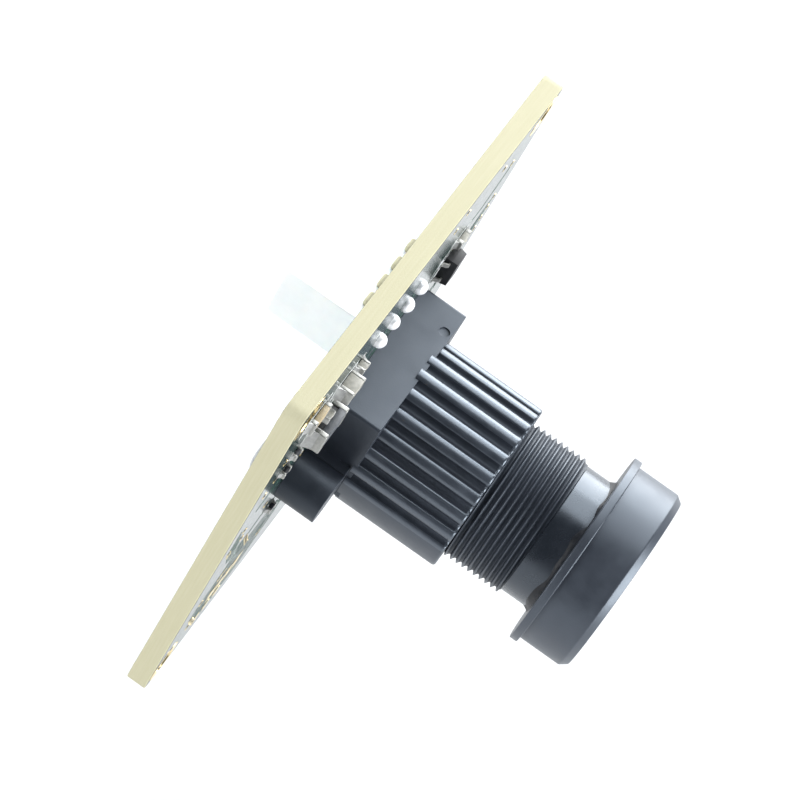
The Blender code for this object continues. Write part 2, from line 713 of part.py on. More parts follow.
def build():
    clear_scene()
    soldermask = make_material("soldermask_and_laminate", (0.62, 0.58, 0.40), 0.45)
    holder_black = make_material("holder_plastic", (0.035, 0.037, 0.043), 0.42)
    lens_black = make_material("lens_plastic", (0.033, 0.035, 0.042), 0.36)
    satin_black = make_material("blackened_metal", (0.02, 0.02, 0.022), 0.5, 0.6)
    header_white = make_material("header_nylon", (0.86, 0.88, 0.87), 0.45)
    tin = make_material("tinned_metal", (0.78, 0.79, 0.80), 0.3, 1.0)
    steel = make_material("screw_steel", (0.5, 0.5, 0.52), 0.35, 1.0)
    glass = make_material("coated_glass", (0.75, 0.85, 0.82), 0.05, 0.0, 1.0)
    filter_glass = make_material("infrared_filter", (0.55, 0.82, 0.84), 0.08, 0.0, 1.0)
    mould = make_material("chip_mould", (0.03, 0.03, 0.033), 0.6)
    grey_case = make_material("grey_case", (0.33, 0.35, 0.37), 0.4, 0.2)
    tan = make_material("tan_ceramic", (0.55, 0.44, 0.27), 0.5)
    ceramic = make_material("grey_ceramic", (0.42, 0.40, 0.37), 0.5)
    resistor = make_material("resistor_black", (0.05, 0.05, 0.06), 0.5)
    package = make_material("sensor_package", (0.12, 0.12, 0.13), 0.5)
    die = make_material("sensor_die", (0.10, 0.12, 0.14), 0.2, 0.5)

    module = make_empty("module_frame", (0, 0, 0))
    front = make_empty("lens_axis", (0, Y_FRONT, 0), module)

    make_board(soldermask, front)
    make_holder(holder_black, front)
    make_screw("holder_screw_left", -EAR_SPACING / 2, steel, front)
    make_screw("holder_screw_right", EAR_SPACING / 2, steel, front)

    make_lens_barrel(lens_black, front)
    make_lens_head(lens_black, front)
    make_optics(glass, front)
    ring = [(5.4, 22.4), (6.3, 22.4), (6.3, 23.45), (5.75, 23.45), (5.4, 23.1)]
    turned("front_retaining_ring", ring, satin_black, front)
    ring = [(4.0, 14.25), (4.65, 14.25), (4.65, 16.9), (4.0, 16.9)]
    turned("middle_spacer_ring", ring, satin_black, front, 24)
    ring = [(4.0, 19.0), (4.65, 19.0), (4.65, 20.28), (4.0, 20.28)]
    turned("front_spacer_ring", ring, satin_black, front, 24)
    ring = [(3.6, 10.9), (4.1, 10.9), (4.1, 13.2), (3.6, 13.2)]
    turned("rear_spacer_ring", ring, satin_black, front, 24)
    ring = [(2.1, 13.3), (4.15, 13.3), (4.15, 13.55), (2.1, 13.55)]
    turned("aperture_stop", ring, satin_black, front, 24)
    ring = [(3.3, 7.0), (4.15, 7.0), (4.15, 7.9), (3.3, 7.9)]
    turned("rear_retaining_ring", ring, satin_black, front, 24)

    make_package("ir_filter", (8.2, 0.3, 8.2), 0, 0, filter_glass, front, False, 2.7, 0)
    make_package("image_sensor_package", (7.6, 1.0, 7.6), 0, 0, package, front, False, 0.06, 0)
    make_package("sensor_die", (5.6, 0.2, 4.4), 0, 0, die, front, False, 1.1, 0)
    make_package("sensor_cover_glass", (6.8, 0.4, 6.8), 0, 0, glass, front, False, 1.34, 0)

    make_header(header_white, front)
    make_terminals(tin, front)

    sot_x = 9.15
    sot_z = 6.9
    sot = make_package("front_regulator", (1.55, 1.0, 2.8), sot_x, sot_z, mould, front, False, 0.1)
    legs = []
    for side, across in ((-1, -0.95), (-1, 0.95), (1, 0.0)):
        legs.extend(leg_boxes(side, across, 0.75, 0.35, 0.5))
    add_legs(sot, legs, front, sot_x, sot_z)

    chips = (
        ("front_inductor", (3.3, 1.25, 2.0), -10.6, 8.9, grey_case, 0.5),
        ("front_capacitor_tan", (2.3, 0.5, 1.3), -14.2, 13.9, tan, 0.4),
        ("front_capacitor_large", (1.9, 1.15, 1.3), -9.8, 12.9, ceramic, 0.45),
        ("front_capacitor_small", (1.0, 0.7, 0.6), -7.5, 12.6, ceramic, 0.25),
        ("front_capacitor_side", (1.6, 0.5, 0.8), 9.9, 9.2, ceramic, 0.4),
        ("front_capacitor_mid", (1.0, 0.75, 0.6), -11.6, 11.3, ceramic, 0.25),
        ("front_resistor_upper", (1.0, 0.4, 0.55), -14.1, 9.1, resistor, 0.22),
        ("front_resistor_lower", (1.0, 0.4, 0.55), -14.6, 7.4, resistor, 0.22),
        ("front_resistor_ear", (0.9, 0.4, 0.5), -9.9, -3.6, resistor, 0.2),
    )
    for name, size, x, z, material, cap in chips:
        make_chip(name, size, x, z, material, front, cap=cap)

    make_package("rear_processor", (8.0, 0.9, 8.0), 0.5, -1.5, mould, front, True)
    memory = make_package("rear_memory", (3.9, 1.3, 4.9), 0.8, -12.3, mould, front, True, 0.12)
    legs = []
    for side in (-1, 1):
        for row in range(4):
            legs.extend(leg_boxes(side, -1.905 + 1.27 * row, 1.95, 0.5, 0.7, True))
    add_legs(memory, legs, front, 0.8, -12.3)
    make_package("rear_crystal", (3.2, 0.8, 2.5), -9.2, -7.0, grey_case, front, True, 0.05, 0.15)
    rear_chips = (
        ("rear_capacitor_left", (1.6, 0.8, 0.8), -6.9, 5.4, tan, 0.35),
        ("rear_capacitor_right", (1.6, 0.8, 0.8), 6.2, 5.6, tan, 0.35),
        ("rear_capacitor_low", (1.6, 0.8, 0.8), -4.9, -9.8, tan, 0.35),
        ("rear_resistor_left", (1.0, 0.4, 0.55), -6.6, -2.4, resistor, 0.22),
        ("rear_resistor_right", (1.0, 0.4, 0.55), 7.4, -5.2, resistor, 0.22),
        ("rear_inductor", (2.6, 1.2, 2.1), 9.8, -9.6, grey_case, 0.55),
    )
    for name, size, x, z, material, cap in rear_chips:
        make_chip(name, size, x, z, material, front, rear=True, cap=cap)


build()
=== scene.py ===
import math
import random

import bmesh
import bpy
from mathutils import Matrix, Vector


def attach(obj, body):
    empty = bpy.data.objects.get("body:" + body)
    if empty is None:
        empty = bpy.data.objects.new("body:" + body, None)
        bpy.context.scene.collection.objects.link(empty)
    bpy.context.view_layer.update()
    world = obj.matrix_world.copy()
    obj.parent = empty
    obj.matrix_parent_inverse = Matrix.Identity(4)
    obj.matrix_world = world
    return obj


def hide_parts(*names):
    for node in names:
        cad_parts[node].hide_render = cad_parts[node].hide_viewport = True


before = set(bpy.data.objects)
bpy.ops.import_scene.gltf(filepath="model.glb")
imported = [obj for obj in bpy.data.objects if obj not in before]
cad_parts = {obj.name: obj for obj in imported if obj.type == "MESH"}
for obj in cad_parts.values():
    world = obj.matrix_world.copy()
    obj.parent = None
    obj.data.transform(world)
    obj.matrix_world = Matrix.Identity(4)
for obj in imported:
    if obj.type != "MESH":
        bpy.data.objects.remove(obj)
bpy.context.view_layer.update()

# Sizes in millimetres. "Forward" is the distance in front of the board's front face,
# and the rear face is at minus BOARD_THICKNESS.
MM = 0.001
Y_FRONT = -1.6
BOARD_SIDE = 38.0
BOARD_THICKNESS = 1.55
BOARD_CORNER = 1.0
HOLE_PITCH = 34.0
HOLE_RADIUS = 1.1
PIN_HOLE_RADIUS = 0.5
PART_GAP = 0.03
EAR_X = 9.0
EAR_RADIUS = 2.02
BLOCK_HALF = 6.55
BLOCK_HEIGHT = 3.7
BLOCK_CORNER_CUT = 4.0
GROOVE_START = 10.5
RIB_HALF = 0.5
RIB_CROWN = 0.78
BARREL_RADIUS = 6.85
BARREL_END = 12.06
PITCH = 0.5
THREAD_ROOT = 5.46
THREAD_CREST = 5.74
PIN_X = (-4.05, -2.05, -0.05, 1.95)
PIN_Z = 11.7
PIN_HALF = 0.25
HEADER_X = -1.05
HEADER_TOP_Z = 14.6
FOOT_NOTCH = 0.38
SOLDER_RADIUS = 0.58
SOLDER_HEIGHT = 0.66

# Layers on the board, as the lowest and highest distance from its face.
MASK_BAND = (0.0, 0.022)
TRACK_BAND = (0.018, 0.042)
INK_BAND = (0.02, 0.036)
PAD_BAND = (0.015, 0.05)
REAR_PAD_BAND = (0.015, 0.048)
INK_WIDTH = 0.14
FINE_TRACK = 0.2

# The view, in degrees and millimetres.
FLOOR_Z = -34.0
FLOOR_HALF = 1500.0
FOCAL_LENGTH = 166.5
SENSOR_WIDTH = 36.0
CAMERA_AZIMUTH = -86.4
CAMERA_ELEVATION = 51.885
CAMERA_ROLL = 32.406
CAMERA_DISTANCE = 265.35
CAMERA_AIM = (1.07, -4.81, 1.06)


# Materials

def link(tree, source, output, target, socket):
    tree.links.new(source.outputs[output], target.inputs[socket])


def add_node(tree, kind, values):
    """A new shader node with values set on its sockets."""
    node = tree.nodes.new("ShaderNode" + kind)
    for socket, value in values.items():
        node.inputs[socket].default_value = value
    return node


def base_nodes(name):
    made = bpy.data.materials.new(name)
    made.use_nodes = True
    tree = made.node_tree
    shader = tree.nodes["Principled BSDF"]
    place = tree.nodes.new("ShaderNodeTexCoord")
    return made, tree, shader, place


def noise_node(tree, place, scale, detail, rough, stretch=None):
    node = add_node(tree, "TexNoise", {"Scale": scale, "Detail": detail, "Roughness": rough})
    if stretch is None:
        link(tree, place, "Object", node, "Vector")
    else:
        mapping = add_node(tree, "Mapping", {"Scale": stretch})
        link(tree, place, "Object", mapping, "Vector")
        link(tree, mapping, "Vector", node, "Vector")
    return node


def ramp_node(tree, source, output, stops):
    node = add_node(tree, "ValToRGB", {})
    marks = node.color_ramp.elements
    for number, (at, colour) in enumerate((stops[0], stops[-1])):
        marks[number].position = at
        marks[number].color = (*colour, 1.0)
    for at, colour in stops[1:-1]:
        marks.new(at).color = (*colour, 1.0)
    link(tree, source, output, node, "Fac")
    return node


def range_node(tree, source, output, low, high, start=0.3, end=0.7):
    node = add_node(tree, "MapRange", {"From Min": start, "From Max": end, "To Min": low, "To Max": high})
    link(tree, source, output, node, "Value")
    return node


def bump_node(tree, shader, source, output, strength, depth):
    node = add_node(tree, "Bump", {"Strength": strength, "Distance": depth * MM})
    link(tree, source, output, node, "Height")
    link(tree, node, "Normal", shader, "Normal")


def make(name, colour, second, rough, spread, metallic=0.0, *, scale,
         grain=9000.0, bump=0.2, depth=0.008, stretch=None, fixed=None):
    """A mottled colour, uneven gloss and a fine surface grain, from two noises."""
    made, tree, shader, place = base_nodes(name)
    shader.inputs["Metallic"].default_value = metallic
    for socket, value in (fixed or {}).items():
        shader.inputs[socket].default_value = value
    broad = noise_node(tree, place, scale, 4.0, 0.6, stretch)
    colours = ramp_node(tree, broad, "Fac", ((0.32, colour), (0.68, second)))
    link(tree, colours, "Color", shader, "Base Color")
    gloss = range_node(tree, broad, "Fac", rough - spread, rough + spread)
    link(tree, gloss, "Result", shader, "Roughness")
    fine = noise_node(tree, place, grain, 2.0, 0.5, stretch)
    bump_node(tree, shader, fine, "Fac", bump, depth)
    return made


def plastic(name, colour, second, rough, level, ior=None, **grain):
    """A black moulded plastic with a cool sheen of the given level."""
    sheen = {"Specular Tint": (0.78, 0.88, 1.0, 1.0), "Specular IOR Level": level}
    if ior:
        sheen["IOR"] = ior
    return make(name, colour, second, rough, 0.05, fixed=sheen, **grain)


def make_laminate():
    """Cut glass and resin: cream resin with bundles of fibre that run along the edge."""
    made, tree, shader, place = base_nodes("laminate_edge")
    shader.inputs["Specular IOR Level"].default_value = 0.25
    layers = noise_node(tree, place, 260.0, 3.0, 0.6, (1.0, 26.0, 1.0))
    bundles = noise_node(tree, place, 1500.0, 3.0, 0.7, (1.0, 5.0, 1.0))
    blend = add_node(tree, "Math", {1: 0.45})
    blend.operation = "MULTIPLY_ADD"
    link(tree, bundles, "Fac", blend, 0)
    share = range_node(tree, layers, "Fac", 0.0, 0.55, 0.25, 0.75)
    link(tree, share, "Result", blend, 2)
    stops = ((0.2, (0.425, 0.398, 0.265)), (0.45, (0.44, 0.413, 0.28)), (0.7, (0.455, 0.43, 0.298)))
    colours = ramp_node(tree, blend, "Value", stops)
    link(tree, colours, "Color", shader, "Base Color")
    gloss = range_node(tree, bundles, "Fac", 0.55, 0.8)
    link(tree, gloss, "Result", shader, "Roughness")
    fuzz = noise_node(tree, place, 5200.0, 3.0, 0.6, (1.0, 2.5, 1.0))
    bump_node(tree, shader, fuzz, "Fac", 0.5, 0.03)
    return made


def make_mask():
    """Dark solder mask: copper areas show through it a little lighter."""
    made, tree, shader, place = base_nodes("solder_mask")
    copper = add_node(tree, "TexVoronoi", {"Scale": 330.0})
    link(tree, place, "Object", copper, "Vector")
    stops = ((0.0, (0.016, 0.034, 0.029)), (0.45, (0.013, 0.028, 0.025)), (0.8, (0.020, 0.042, 0.036)))
    colours = ramp_node(tree, copper, "Distance", stops)
    link(tree, colours, "Color", shader, "Base Color")
    weave = noise_node(tree, place, 2600.0, 2.0, 0.5)
    gloss = range_node(tree, weave, "Fac", 0.16, 0.22)
    link(tree, gloss, "Result", shader, "Roughness")
    bump_node(tree, shader, weave, "Fac", 0.12, 0.004)
    return made


def make_floor():
    made, tree, shader, place = base_nodes("studio_floor")
    soft = noise_node(tree, place, 60.0, 2.0, 0.5)
    colours = ramp_node(tree, soft, "Fac", ((0.3, (0.38, 0.382, 0.385)), (0.7, (0.395, 0.395, 0.395))))
    link(tree, colours, "Color", shader, "Base Color")
    shader.inputs["Roughness"].default_value = 0.85
    shader.inputs["Specular IOR Level"].default_value = 0.1
    shader.inputs["Emission Color"].default_value = (0.97, 0.98, 1.0, 1.0)
    shader.inputs["Emission Strength"].default_value = 0.4
    return made


LAMINATE = make_laminate()
MASK = make_mask()
MASK_COPPER = make("mask_over_copper", (0.030, 0.082, 0.060), (0.040, 0.10, 0.074), 0.25, 0.05,
                   scale=1500.0, grain=2600.0, depth=0.006)
SILK = make("silkscreen_ink", (0.70, 0.72, 0.70), (0.82, 0.84, 0.82), 0.55, 0.08,
            scale=5000.0, grain=14000.0, depth=0.01)
GOLD = make("gold_pad", (0.86, 0.66, 0.30), (0.95, 0.78, 0.42), 0.24, 0.08, 1.0,
            scale=2500.0, depth=0.004)
TIN = make("tinned_metal", (0.30, 0.30, 0.285), (0.46, 0.455, 0.43), 0.38, 0.1, 0.75,
           scale=2600.0, grain=7000.0)
SOLDER = make("solder", (0.72, 0.73, 0.76), (0.92, 0.92, 0.93), 0.45, 0.1, 0.4,
              scale=1900.0, grain=3800.0, bump=0.3, depth=0.02)
FILLET = make("reflowed_solder", (0.25, 0.25, 0.245), (0.42, 0.42, 0.41), 0.40, 0.1, 0.6,
              scale=1900.0, grain=3800.0, bump=0.3, depth=0.02)
HOLDER_TONES = ((0.017, 0.020, 0.028), (0.024, 0.028, 0.038))
HOLDER_GRAIN = {"scale": 700.0, "bump": 0.3, "depth": 0.01}
HOLDER = plastic("moulded_holder", *HOLDER_TONES, 0.42, 1.0, **HOLDER_GRAIN)
HOLDER_BASE = plastic("moulded_base", *HOLDER_TONES, 0.44, 0.75, **HOLDER_GRAIN)
HOLDER_RIB = plastic("moulded_rib", *HOLDER_TONES, 0.37, 1.0, 1.72, **HOLDER_GRAIN)
# A rougher, less glossy moulding whose slightly darker tones paint shade into the barrel's grooves and the
# lens thread's roots.
HOLDER_GROOVE_SHADE = plastic("moulded_groove_painted_shade", (0.016, 0.019, 0.026), (0.022, 0.026, 0.036), 0.52, 0.6,
                        **HOLDER_GRAIN)
LENS_NECK = plastic("polished_neck", (0.014, 0.017, 0.023), (0.020, 0.023, 0.031), 0.28, 1.0,
                    scale=500.0, grain=8000.0, bump=0.15, depth=0.006)
LENS = plastic("moulded_lens", (0.019, 0.022, 0.030), (0.026, 0.030, 0.040), 0.42, 1.0,
               scale=600.0, grain=11000.0, bump=0.25, depth=0.01)
BLACK_METAL = make("blackened_metal", (0.012, 0.012, 0.014), (0.022, 0.022, 0.026), 0.5, 0.08, 0.6,
                   scale=1800.0, depth=0.006)
STEEL = make("screw_steel", (0.40, 0.41, 0.42), (0.56, 0.57, 0.58), 0.3, 0.08, 1.0,
             scale=3000.0, depth=0.006)
NYLON = make("header_nylon", (0.78, 0.82, 0.82), (0.84, 0.87, 0.87), 0.42, 0.06,
             scale=420.0, grain=7000.0, depth=0.01,
             fixed={"Subsurface Weight": 0.12, "Subsurface Scale": 0.0006})
MOULD = make("chip_mould", (0.018, 0.018, 0.020), (0.032, 0.032, 0.035), 0.52, 0.08,
             scale=6000.0, grain=16000.0, bump=0.4, depth=0.01)
CASE = make("grey_case", (0.075, 0.08, 0.09), (0.12, 0.125, 0.135), 0.42, 0.08,
            scale=3000.0, bump=0.3, depth=0.01)
TAN = make("tan_ceramic", (0.34, 0.27, 0.16), (0.46, 0.37, 0.23), 0.42, 0.08,
           scale=4000.0, grain=12000.0, bump=0.3)
CERAMIC = make("grey_ceramic", (0.32, 0.31, 0.27), (0.44, 0.42, 0.37), 0.42, 0.08,
               scale=4000.0, grain=12000.0, bump=0.3)
RESISTOR = make("resistor_film", (0.016, 0.017, 0.022), (0.030, 0.031, 0.038), 0.32, 0.06,
                scale=5000.0, grain=12000.0, depth=0.006)
CAN = make("crystal_can", (0.60, 0.60, 0.58), (0.74, 0.74, 0.72), 0.28, 0.08, 1.0,
           scale=1500.0, grain=5000.0, depth=0.006, stretch=(1.0, 1.0, 9.0))
PACKAGE = make("sensor_package", (0.08, 0.08, 0.09), (0.12, 0.12, 0.13), 0.5, 0.06, scale=3000.0)
DIE = make("sensor_die", (0.05, 0.07, 0.10), (0.10, 0.09, 0.13), 0.16, 0.04, 0.4,
           scale=900.0, grain=40000.0, depth=0.002)
GLUE = make("thread_adhesive", (0.006, 0.007, 0.010), (0.016, 0.017, 0.022), 0.45, 0.08,
            scale=2200.0, grain=3200.0, bump=0.5, depth=0.03, fixed={"Specular IOR Level": 0.25})
GLASS = make("coated_glass", (0.80, 0.93, 0.88), (0.86, 0.90, 0.95), 0.03, 0.01,
             scale=120.0, grain=300.0, bump=0.02, depth=0.001,
             fixed={"Transmission Weight": 1.0, "IOR": 1.52, "Coat Weight": 0.6,
                    "Coat Tint": (0.72, 0.86, 1.0, 1.0), "Coat Roughness": 0.02})
FILTER = make("filter_glass", (0.55, 0.82, 0.86), (0.62, 0.80, 0.90), 0.05, 0.02,
              scale=160.0, grain=300.0, bump=0.02, depth=0.001,
              fixed={"Transmission Weight": 1.0, "IOR": 1.5})


# Mesh tools

def piece(name, bm, materials, nodes=(), angle=35.0, weld=True, flat=False, body="camera_board"):
    """Turns a bmesh in front-face millimetres into a finished piece on a body."""
    if weld:
        bmesh.ops.remove_doubles(bm, verts=bm.verts, dist=1e-5)
    bmesh.ops.recalc_face_normals(bm, faces=bm.faces)
    shift = Matrix.Translation((0, Y_FRONT * MM, 0)) @ Matrix.Scale(MM, 4)
    bmesh.ops.transform(bm, matrix=shift, verts=bm.verts)
    mesh = bpy.data.meshes.new(name)
    bm.to_mesh(mesh)
    bm.free()
    for made in materials:
        mesh.materials.append(made)
    mesh.shade_smooth()
    mesh.set_sharp_from_angle(angle=math.radians(angle))
    item = bpy.data.objects.new(name, mesh)
    bpy.context.scene.collection.objects.link(item)
    if flat:
        weighted = item.modifiers.new("Flat faces", "WEIGHTED_NORMAL")
        weighted.keep_sharp = True
        weighted.weight = 100
    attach(item, body)
    if nodes:
        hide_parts(*nodes)
    return item


def block(bm, low, high, bevel=0.0, index=0, steps=2):
    """A box with rounded edges between two opposite corners, which are x, y, z."""
    own = bmesh.new()
    size = [abs(b - a) for a, b in zip(low, high)]
    middle = [(a + b) / 2 for a, b in zip(low, high)]
    bmesh.ops.create_cube(own, size=1.0)
    bmesh.ops.scale(own, vec=Vector(size), verts=own.verts)
    if bevel:
        bmesh.ops.bevel(own, geom=own.edges[:], offset=bevel, segments=steps, affect="EDGES", profile=0.5)
    bmesh.ops.translate(own, vec=Vector(middle), verts=own.verts)
    pour(own, bm, index)


def pour(own, bm, index):
    """Moves one bmesh into another with a material index."""
    fresh = {}
    for vert in own.verts:
        fresh[vert] = bm.verts.new(vert.co)
    for face in own.faces:
        new = bm.faces.new([fresh[v] for v in face.verts])
        new.material_index = index
    own.free()


def disc(bm, radius, depth, segments, centre, index=0, tilt=None):
    """A short round plug about a centre, along Z unless a tilt turns it."""
    own = bmesh.new()
    place = Matrix.Translation(centre)
    if tilt is not None:
        place = place @ tilt
    bmesh.ops.create_cone(own, cap_ends=True, segments=segments, radius1=radius, radius2=radius,
                          depth=depth, matrix=place)
    pour(own, bm, index)


def polar(bm, radius, forward, angle, x=0.0, z=0.0):
    """A vertex at a radius and angle about an axis along Y."""
    return bm.verts.new((x + radius * math.cos(angle), -forward, z + radius * math.sin(angle)))


def ring(bm, radius, forward, segments, x=0.0, z=0.0):
    return [polar(bm, radius, forward, 2 * math.pi * step / segments, x, z) for step in range(segments)]


def bridge(bm, first, second, index=0):
    """Joins two loops of the same length by a band of quads."""
    count = len(first)
    for step in range(count):
        after = (step + 1) % count
        face = bm.faces.new((first[step], first[after], second[after], second[step]))
        face.material_index = index


def lofted(bm, loops, index=0):
    """A closed solid through a list of loops."""
    for first, second in zip(loops, loops[1:]):
        bridge(bm, first, second, index)
    for end in (loops[0], loops[-1]):
        bm.faces.new(end).material_index = index


def hollow(bm, loops, index=0):
    """A ring-shaped solid through a list of loops."""
    for first, second in zip(loops, loops[1:] + loops[:1]):
        bridge(bm, first, second, index)


def rounded(points, radii, steps):
    """Replaces each corner of a closed outline by an arc of its radius."""
    made = []
    count = len(points)
    for at in range(count):
        here = Vector(points[at])
        back = Vector(points[at - 1]) - here
        ahead = Vector(points[(at + 1) % count]) - here
        radius = radii[at] if isinstance(radii, (list, tuple)) else radii
        if radius <= 0:
            made.append(tuple(here))
            continue
        turn = back.angle(ahead)
        reach = min(radius / math.tan(turn / 2), 0.45 * back.length, 0.45 * ahead.length)
        start = here + back.normalized() * reach
        end = here + ahead.normalized() * reach
        for step in range(steps + 1):
            t = step / steps
            point = start * (1 - t) ** 2 + here * 2 * t * (1 - t) + end * t ** 2
            made.append(tuple(point))
    return made


def turn(bm, profile, segments, closed=True, index=0, x=0.0, z=0.0):
    """Turns a profile of radius and forward distance round an axis along Y."""
    rings = [ring(bm, radius, forward, segments, x, z) for radius, forward in profile]
    if closed:
        hollow(bm, rings, index)
    else:
        lofted(bm, rings, index)


def prism(bm, outline, low, high, index=0):
    """Extrudes an outline of x, z points between two forward distances."""
    lofted(bm, [[bm.verts.new((x, -forward, z)) for x, z in outline] for forward in (low, high)], index)


def oblong(x, z, width, depth, radius, steps=3):
    """Outline of a rectangle with round corners."""
    a, b = width / 2, depth / 2
    corners = ((-a, -b), (a, -b), (a, b), (-a, b))
    return [(x + p, z + q) for p, q in rounded(corners, radius, steps)]


def square(half, radius):
    return oblong(0.0, 0.0, 2 * half, 2 * half, radius, 8)


def carve(bm, cutter, operation="DIFFERENCE"):
    """Boolean of two bmeshes in millimetres, done on temporary objects."""
    pair = []
    for source in (bm, cutter):
        bmesh.ops.recalc_face_normals(source, faces=source.faces)
        mesh = bpy.data.meshes.new("temporary")
        source.to_mesh(mesh)
        source.free()
        item = bpy.data.objects.new("temporary", mesh)
        bpy.context.scene.collection.objects.link(item)
        pair.append(item)
    modifier = pair[0].modifiers.new("cut", "BOOLEAN")
    modifier.operation = operation
    modifier.object = pair[1]
    modifier.solver = "EXACT"
    bpy.context.view_layer.update()
    shape = pair[0].evaluated_get(bpy.context.evaluated_depsgraph_get())
    result = bmesh.new()
    result.from_mesh(shape.data)
    for item in pair:
        bpy.data.objects.remove(item, do_unlink=True)
    return result


def carve_block(bm, low, high, operation="DIFFERENCE"):
    cutter = bmesh.new()
    block(cutter, low, high)
    return carve(bm, cutter, operation)


def soften(bm, width, steps, angle=30.0):
    """Rounds the sharp edges of a bmesh."""
    bmesh.ops.recalc_face_normals(bm, faces=bm.faces)
    bmesh.ops.dissolve_limit(bm, angle_limit=math.radians(2), verts=bm.verts, edges=bm.edges)
    sharp = [e for e in bm.edges if len(e.link_faces) == 2 and e.calc_face_angle() > math.radians(angle)]
    bmesh.ops.bevel(bm, geom=sharp, offset=width, segments=steps, affect="EDGES", profile=0.5,
                    clamp_overlap=True)
    return bm


def strip(bm, points, width, low, high):
    """A flat track with mitred bends along a list of x, z points."""
    sides = []
    count = len(points)
    for at in range(count):
        here = Vector(points[at])
        before = Vector(points[max(at - 1, 0)])
        after = Vector(points[min(at + 1, count - 1)])
        incoming = (here - before).normalized() if at > 0 else (after - here).normalized()
        outgoing = (after - here).normalized() if at < count - 1 else incoming
        normal_in = Vector((-incoming.y, incoming.x))
        normal_out = Vector((-outgoing.y, outgoing.x))
        normal = (normal_in + normal_out).normalized()
        reach = width / 2 / max(normal.dot(normal_in), 0.5)
        sides.append((here + normal * reach, here - normal * reach))
    for first, second in zip(sides, sides[1:]):
        corners = (first[0], second[0], second[1], first[1])
        prism(bm, [(c.x, c.y) for c in corners], low, high)


# Circuit board

def rear_band(band):
    """The same layer on the rear face, as forward distances."""
    return -BOARD_THICKNESS - band[1], -BOARD_THICKNESS - band[0]


def hole_list():
    """Every drilled hole, as x, z and radius."""
    half = HOLE_PITCH / 2
    holes = [(x * half, z * half, HOLE_RADIUS) for x in (-1, 1) for z in (-1, 1)]
    holes += [(x, PIN_Z, PIN_HOLE_RADIUS) for x in PIN_X]
    holes += [(-EAR_X, 0.0, HOLE_RADIUS), (EAR_X, 0.0, HOLE_RADIUS)]
    return holes


def build_board():
    core = bmesh.new()
    ease = 0.05
    outline = square(BOARD_SIDE / 2, BOARD_CORNER)
    inner = square(BOARD_SIDE / 2 - ease, BOARD_CORNER - ease)
    layers = ((inner, 0.0), (outline, -ease), (outline, -BOARD_THICKNESS + ease), (inner, -BOARD_THICKNESS))
    lofted(core, [[core.verts.new((x, -forward, z)) for x, z in points] for points, forward in layers])
    drills = bmesh.new()
    for x, z, radius in hole_list():
        turn(drills, ((radius, 1.0), (radius, -3.0)), 40, False, 0, x, z)
    core = carve(core, drills)
    piece("board_laminate", core, [LAMINATE], ["circuit_board"])

    for label, (low, high) in (("front", MASK_BAND), ("rear", rear_band(MASK_BAND))):
        skin = bmesh.new()
        prism(skin, square(BOARD_SIDE / 2 - 0.16, 0.85), low, high)
        clear = bmesh.new()
        for x, z, radius in hole_list():
            at_corner = abs(x) > 16
            open_radius = radius + (0.72 if at_corner else 0.05)
            turn(clear, ((open_radius, high + 1.0), (open_radius, low - 1.0)), 40, False, 0, x, z)
        skin = carve(skin, clear)
        piece(f"solder_mask_{label}", skin, [MASK])

    rings = bmesh.new()
    inner, barrel, outer, stand = 1.09, 1.16, 1.74, 0.045
    corners = ((inner, stand), (outer, stand), (outer, -0.01), (barrel, -0.01),
               (barrel, 0.01 - BOARD_THICKNESS), (outer, 0.01 - BOARD_THICKNESS),
               (outer, -stand - BOARD_THICKNESS), (inner, -stand - BOARD_THICKNESS))
    profile = rounded(corners, (0.03, 0.02, 0, 0, 0, 0, 0.02, 0.03), 2)
    half = HOLE_PITCH / 2
    for x in (-half, half):
        for z in (-half, half):
            turn(rings, profile, 48, True, 0, x, z)
    piece("mounting_hole_rings", rings, [GOLD])


def dogleg(x0, z0, x1, z1, across_first=True):
    """A route of two straight runs joined by one at 45 degrees."""
    dx, dz = x1 - x0, z1 - z0
    slant = min(abs(dx), abs(dz)) * 0.7
    sx = math.copysign(slant, dx)
    sz = math.copysign(slant, dz)
    if across_first:
        bend = (x1 - sx, z0)
        return [(x0, z0), bend, (x1, z0 + sz), (x1, z1)]
    bend = (x0, z1 - sz)
    return [(x0, z0), bend, (x0 + sx, z1), (x1, z1)]


def tidy(points):
    """Drops points that repeat the one before."""
    kept = [points[0]]
    for point in points[1:]:
        if (Vector(point) - Vector(kept[-1])).length > 0.05:
            kept.append(point)
    return kept


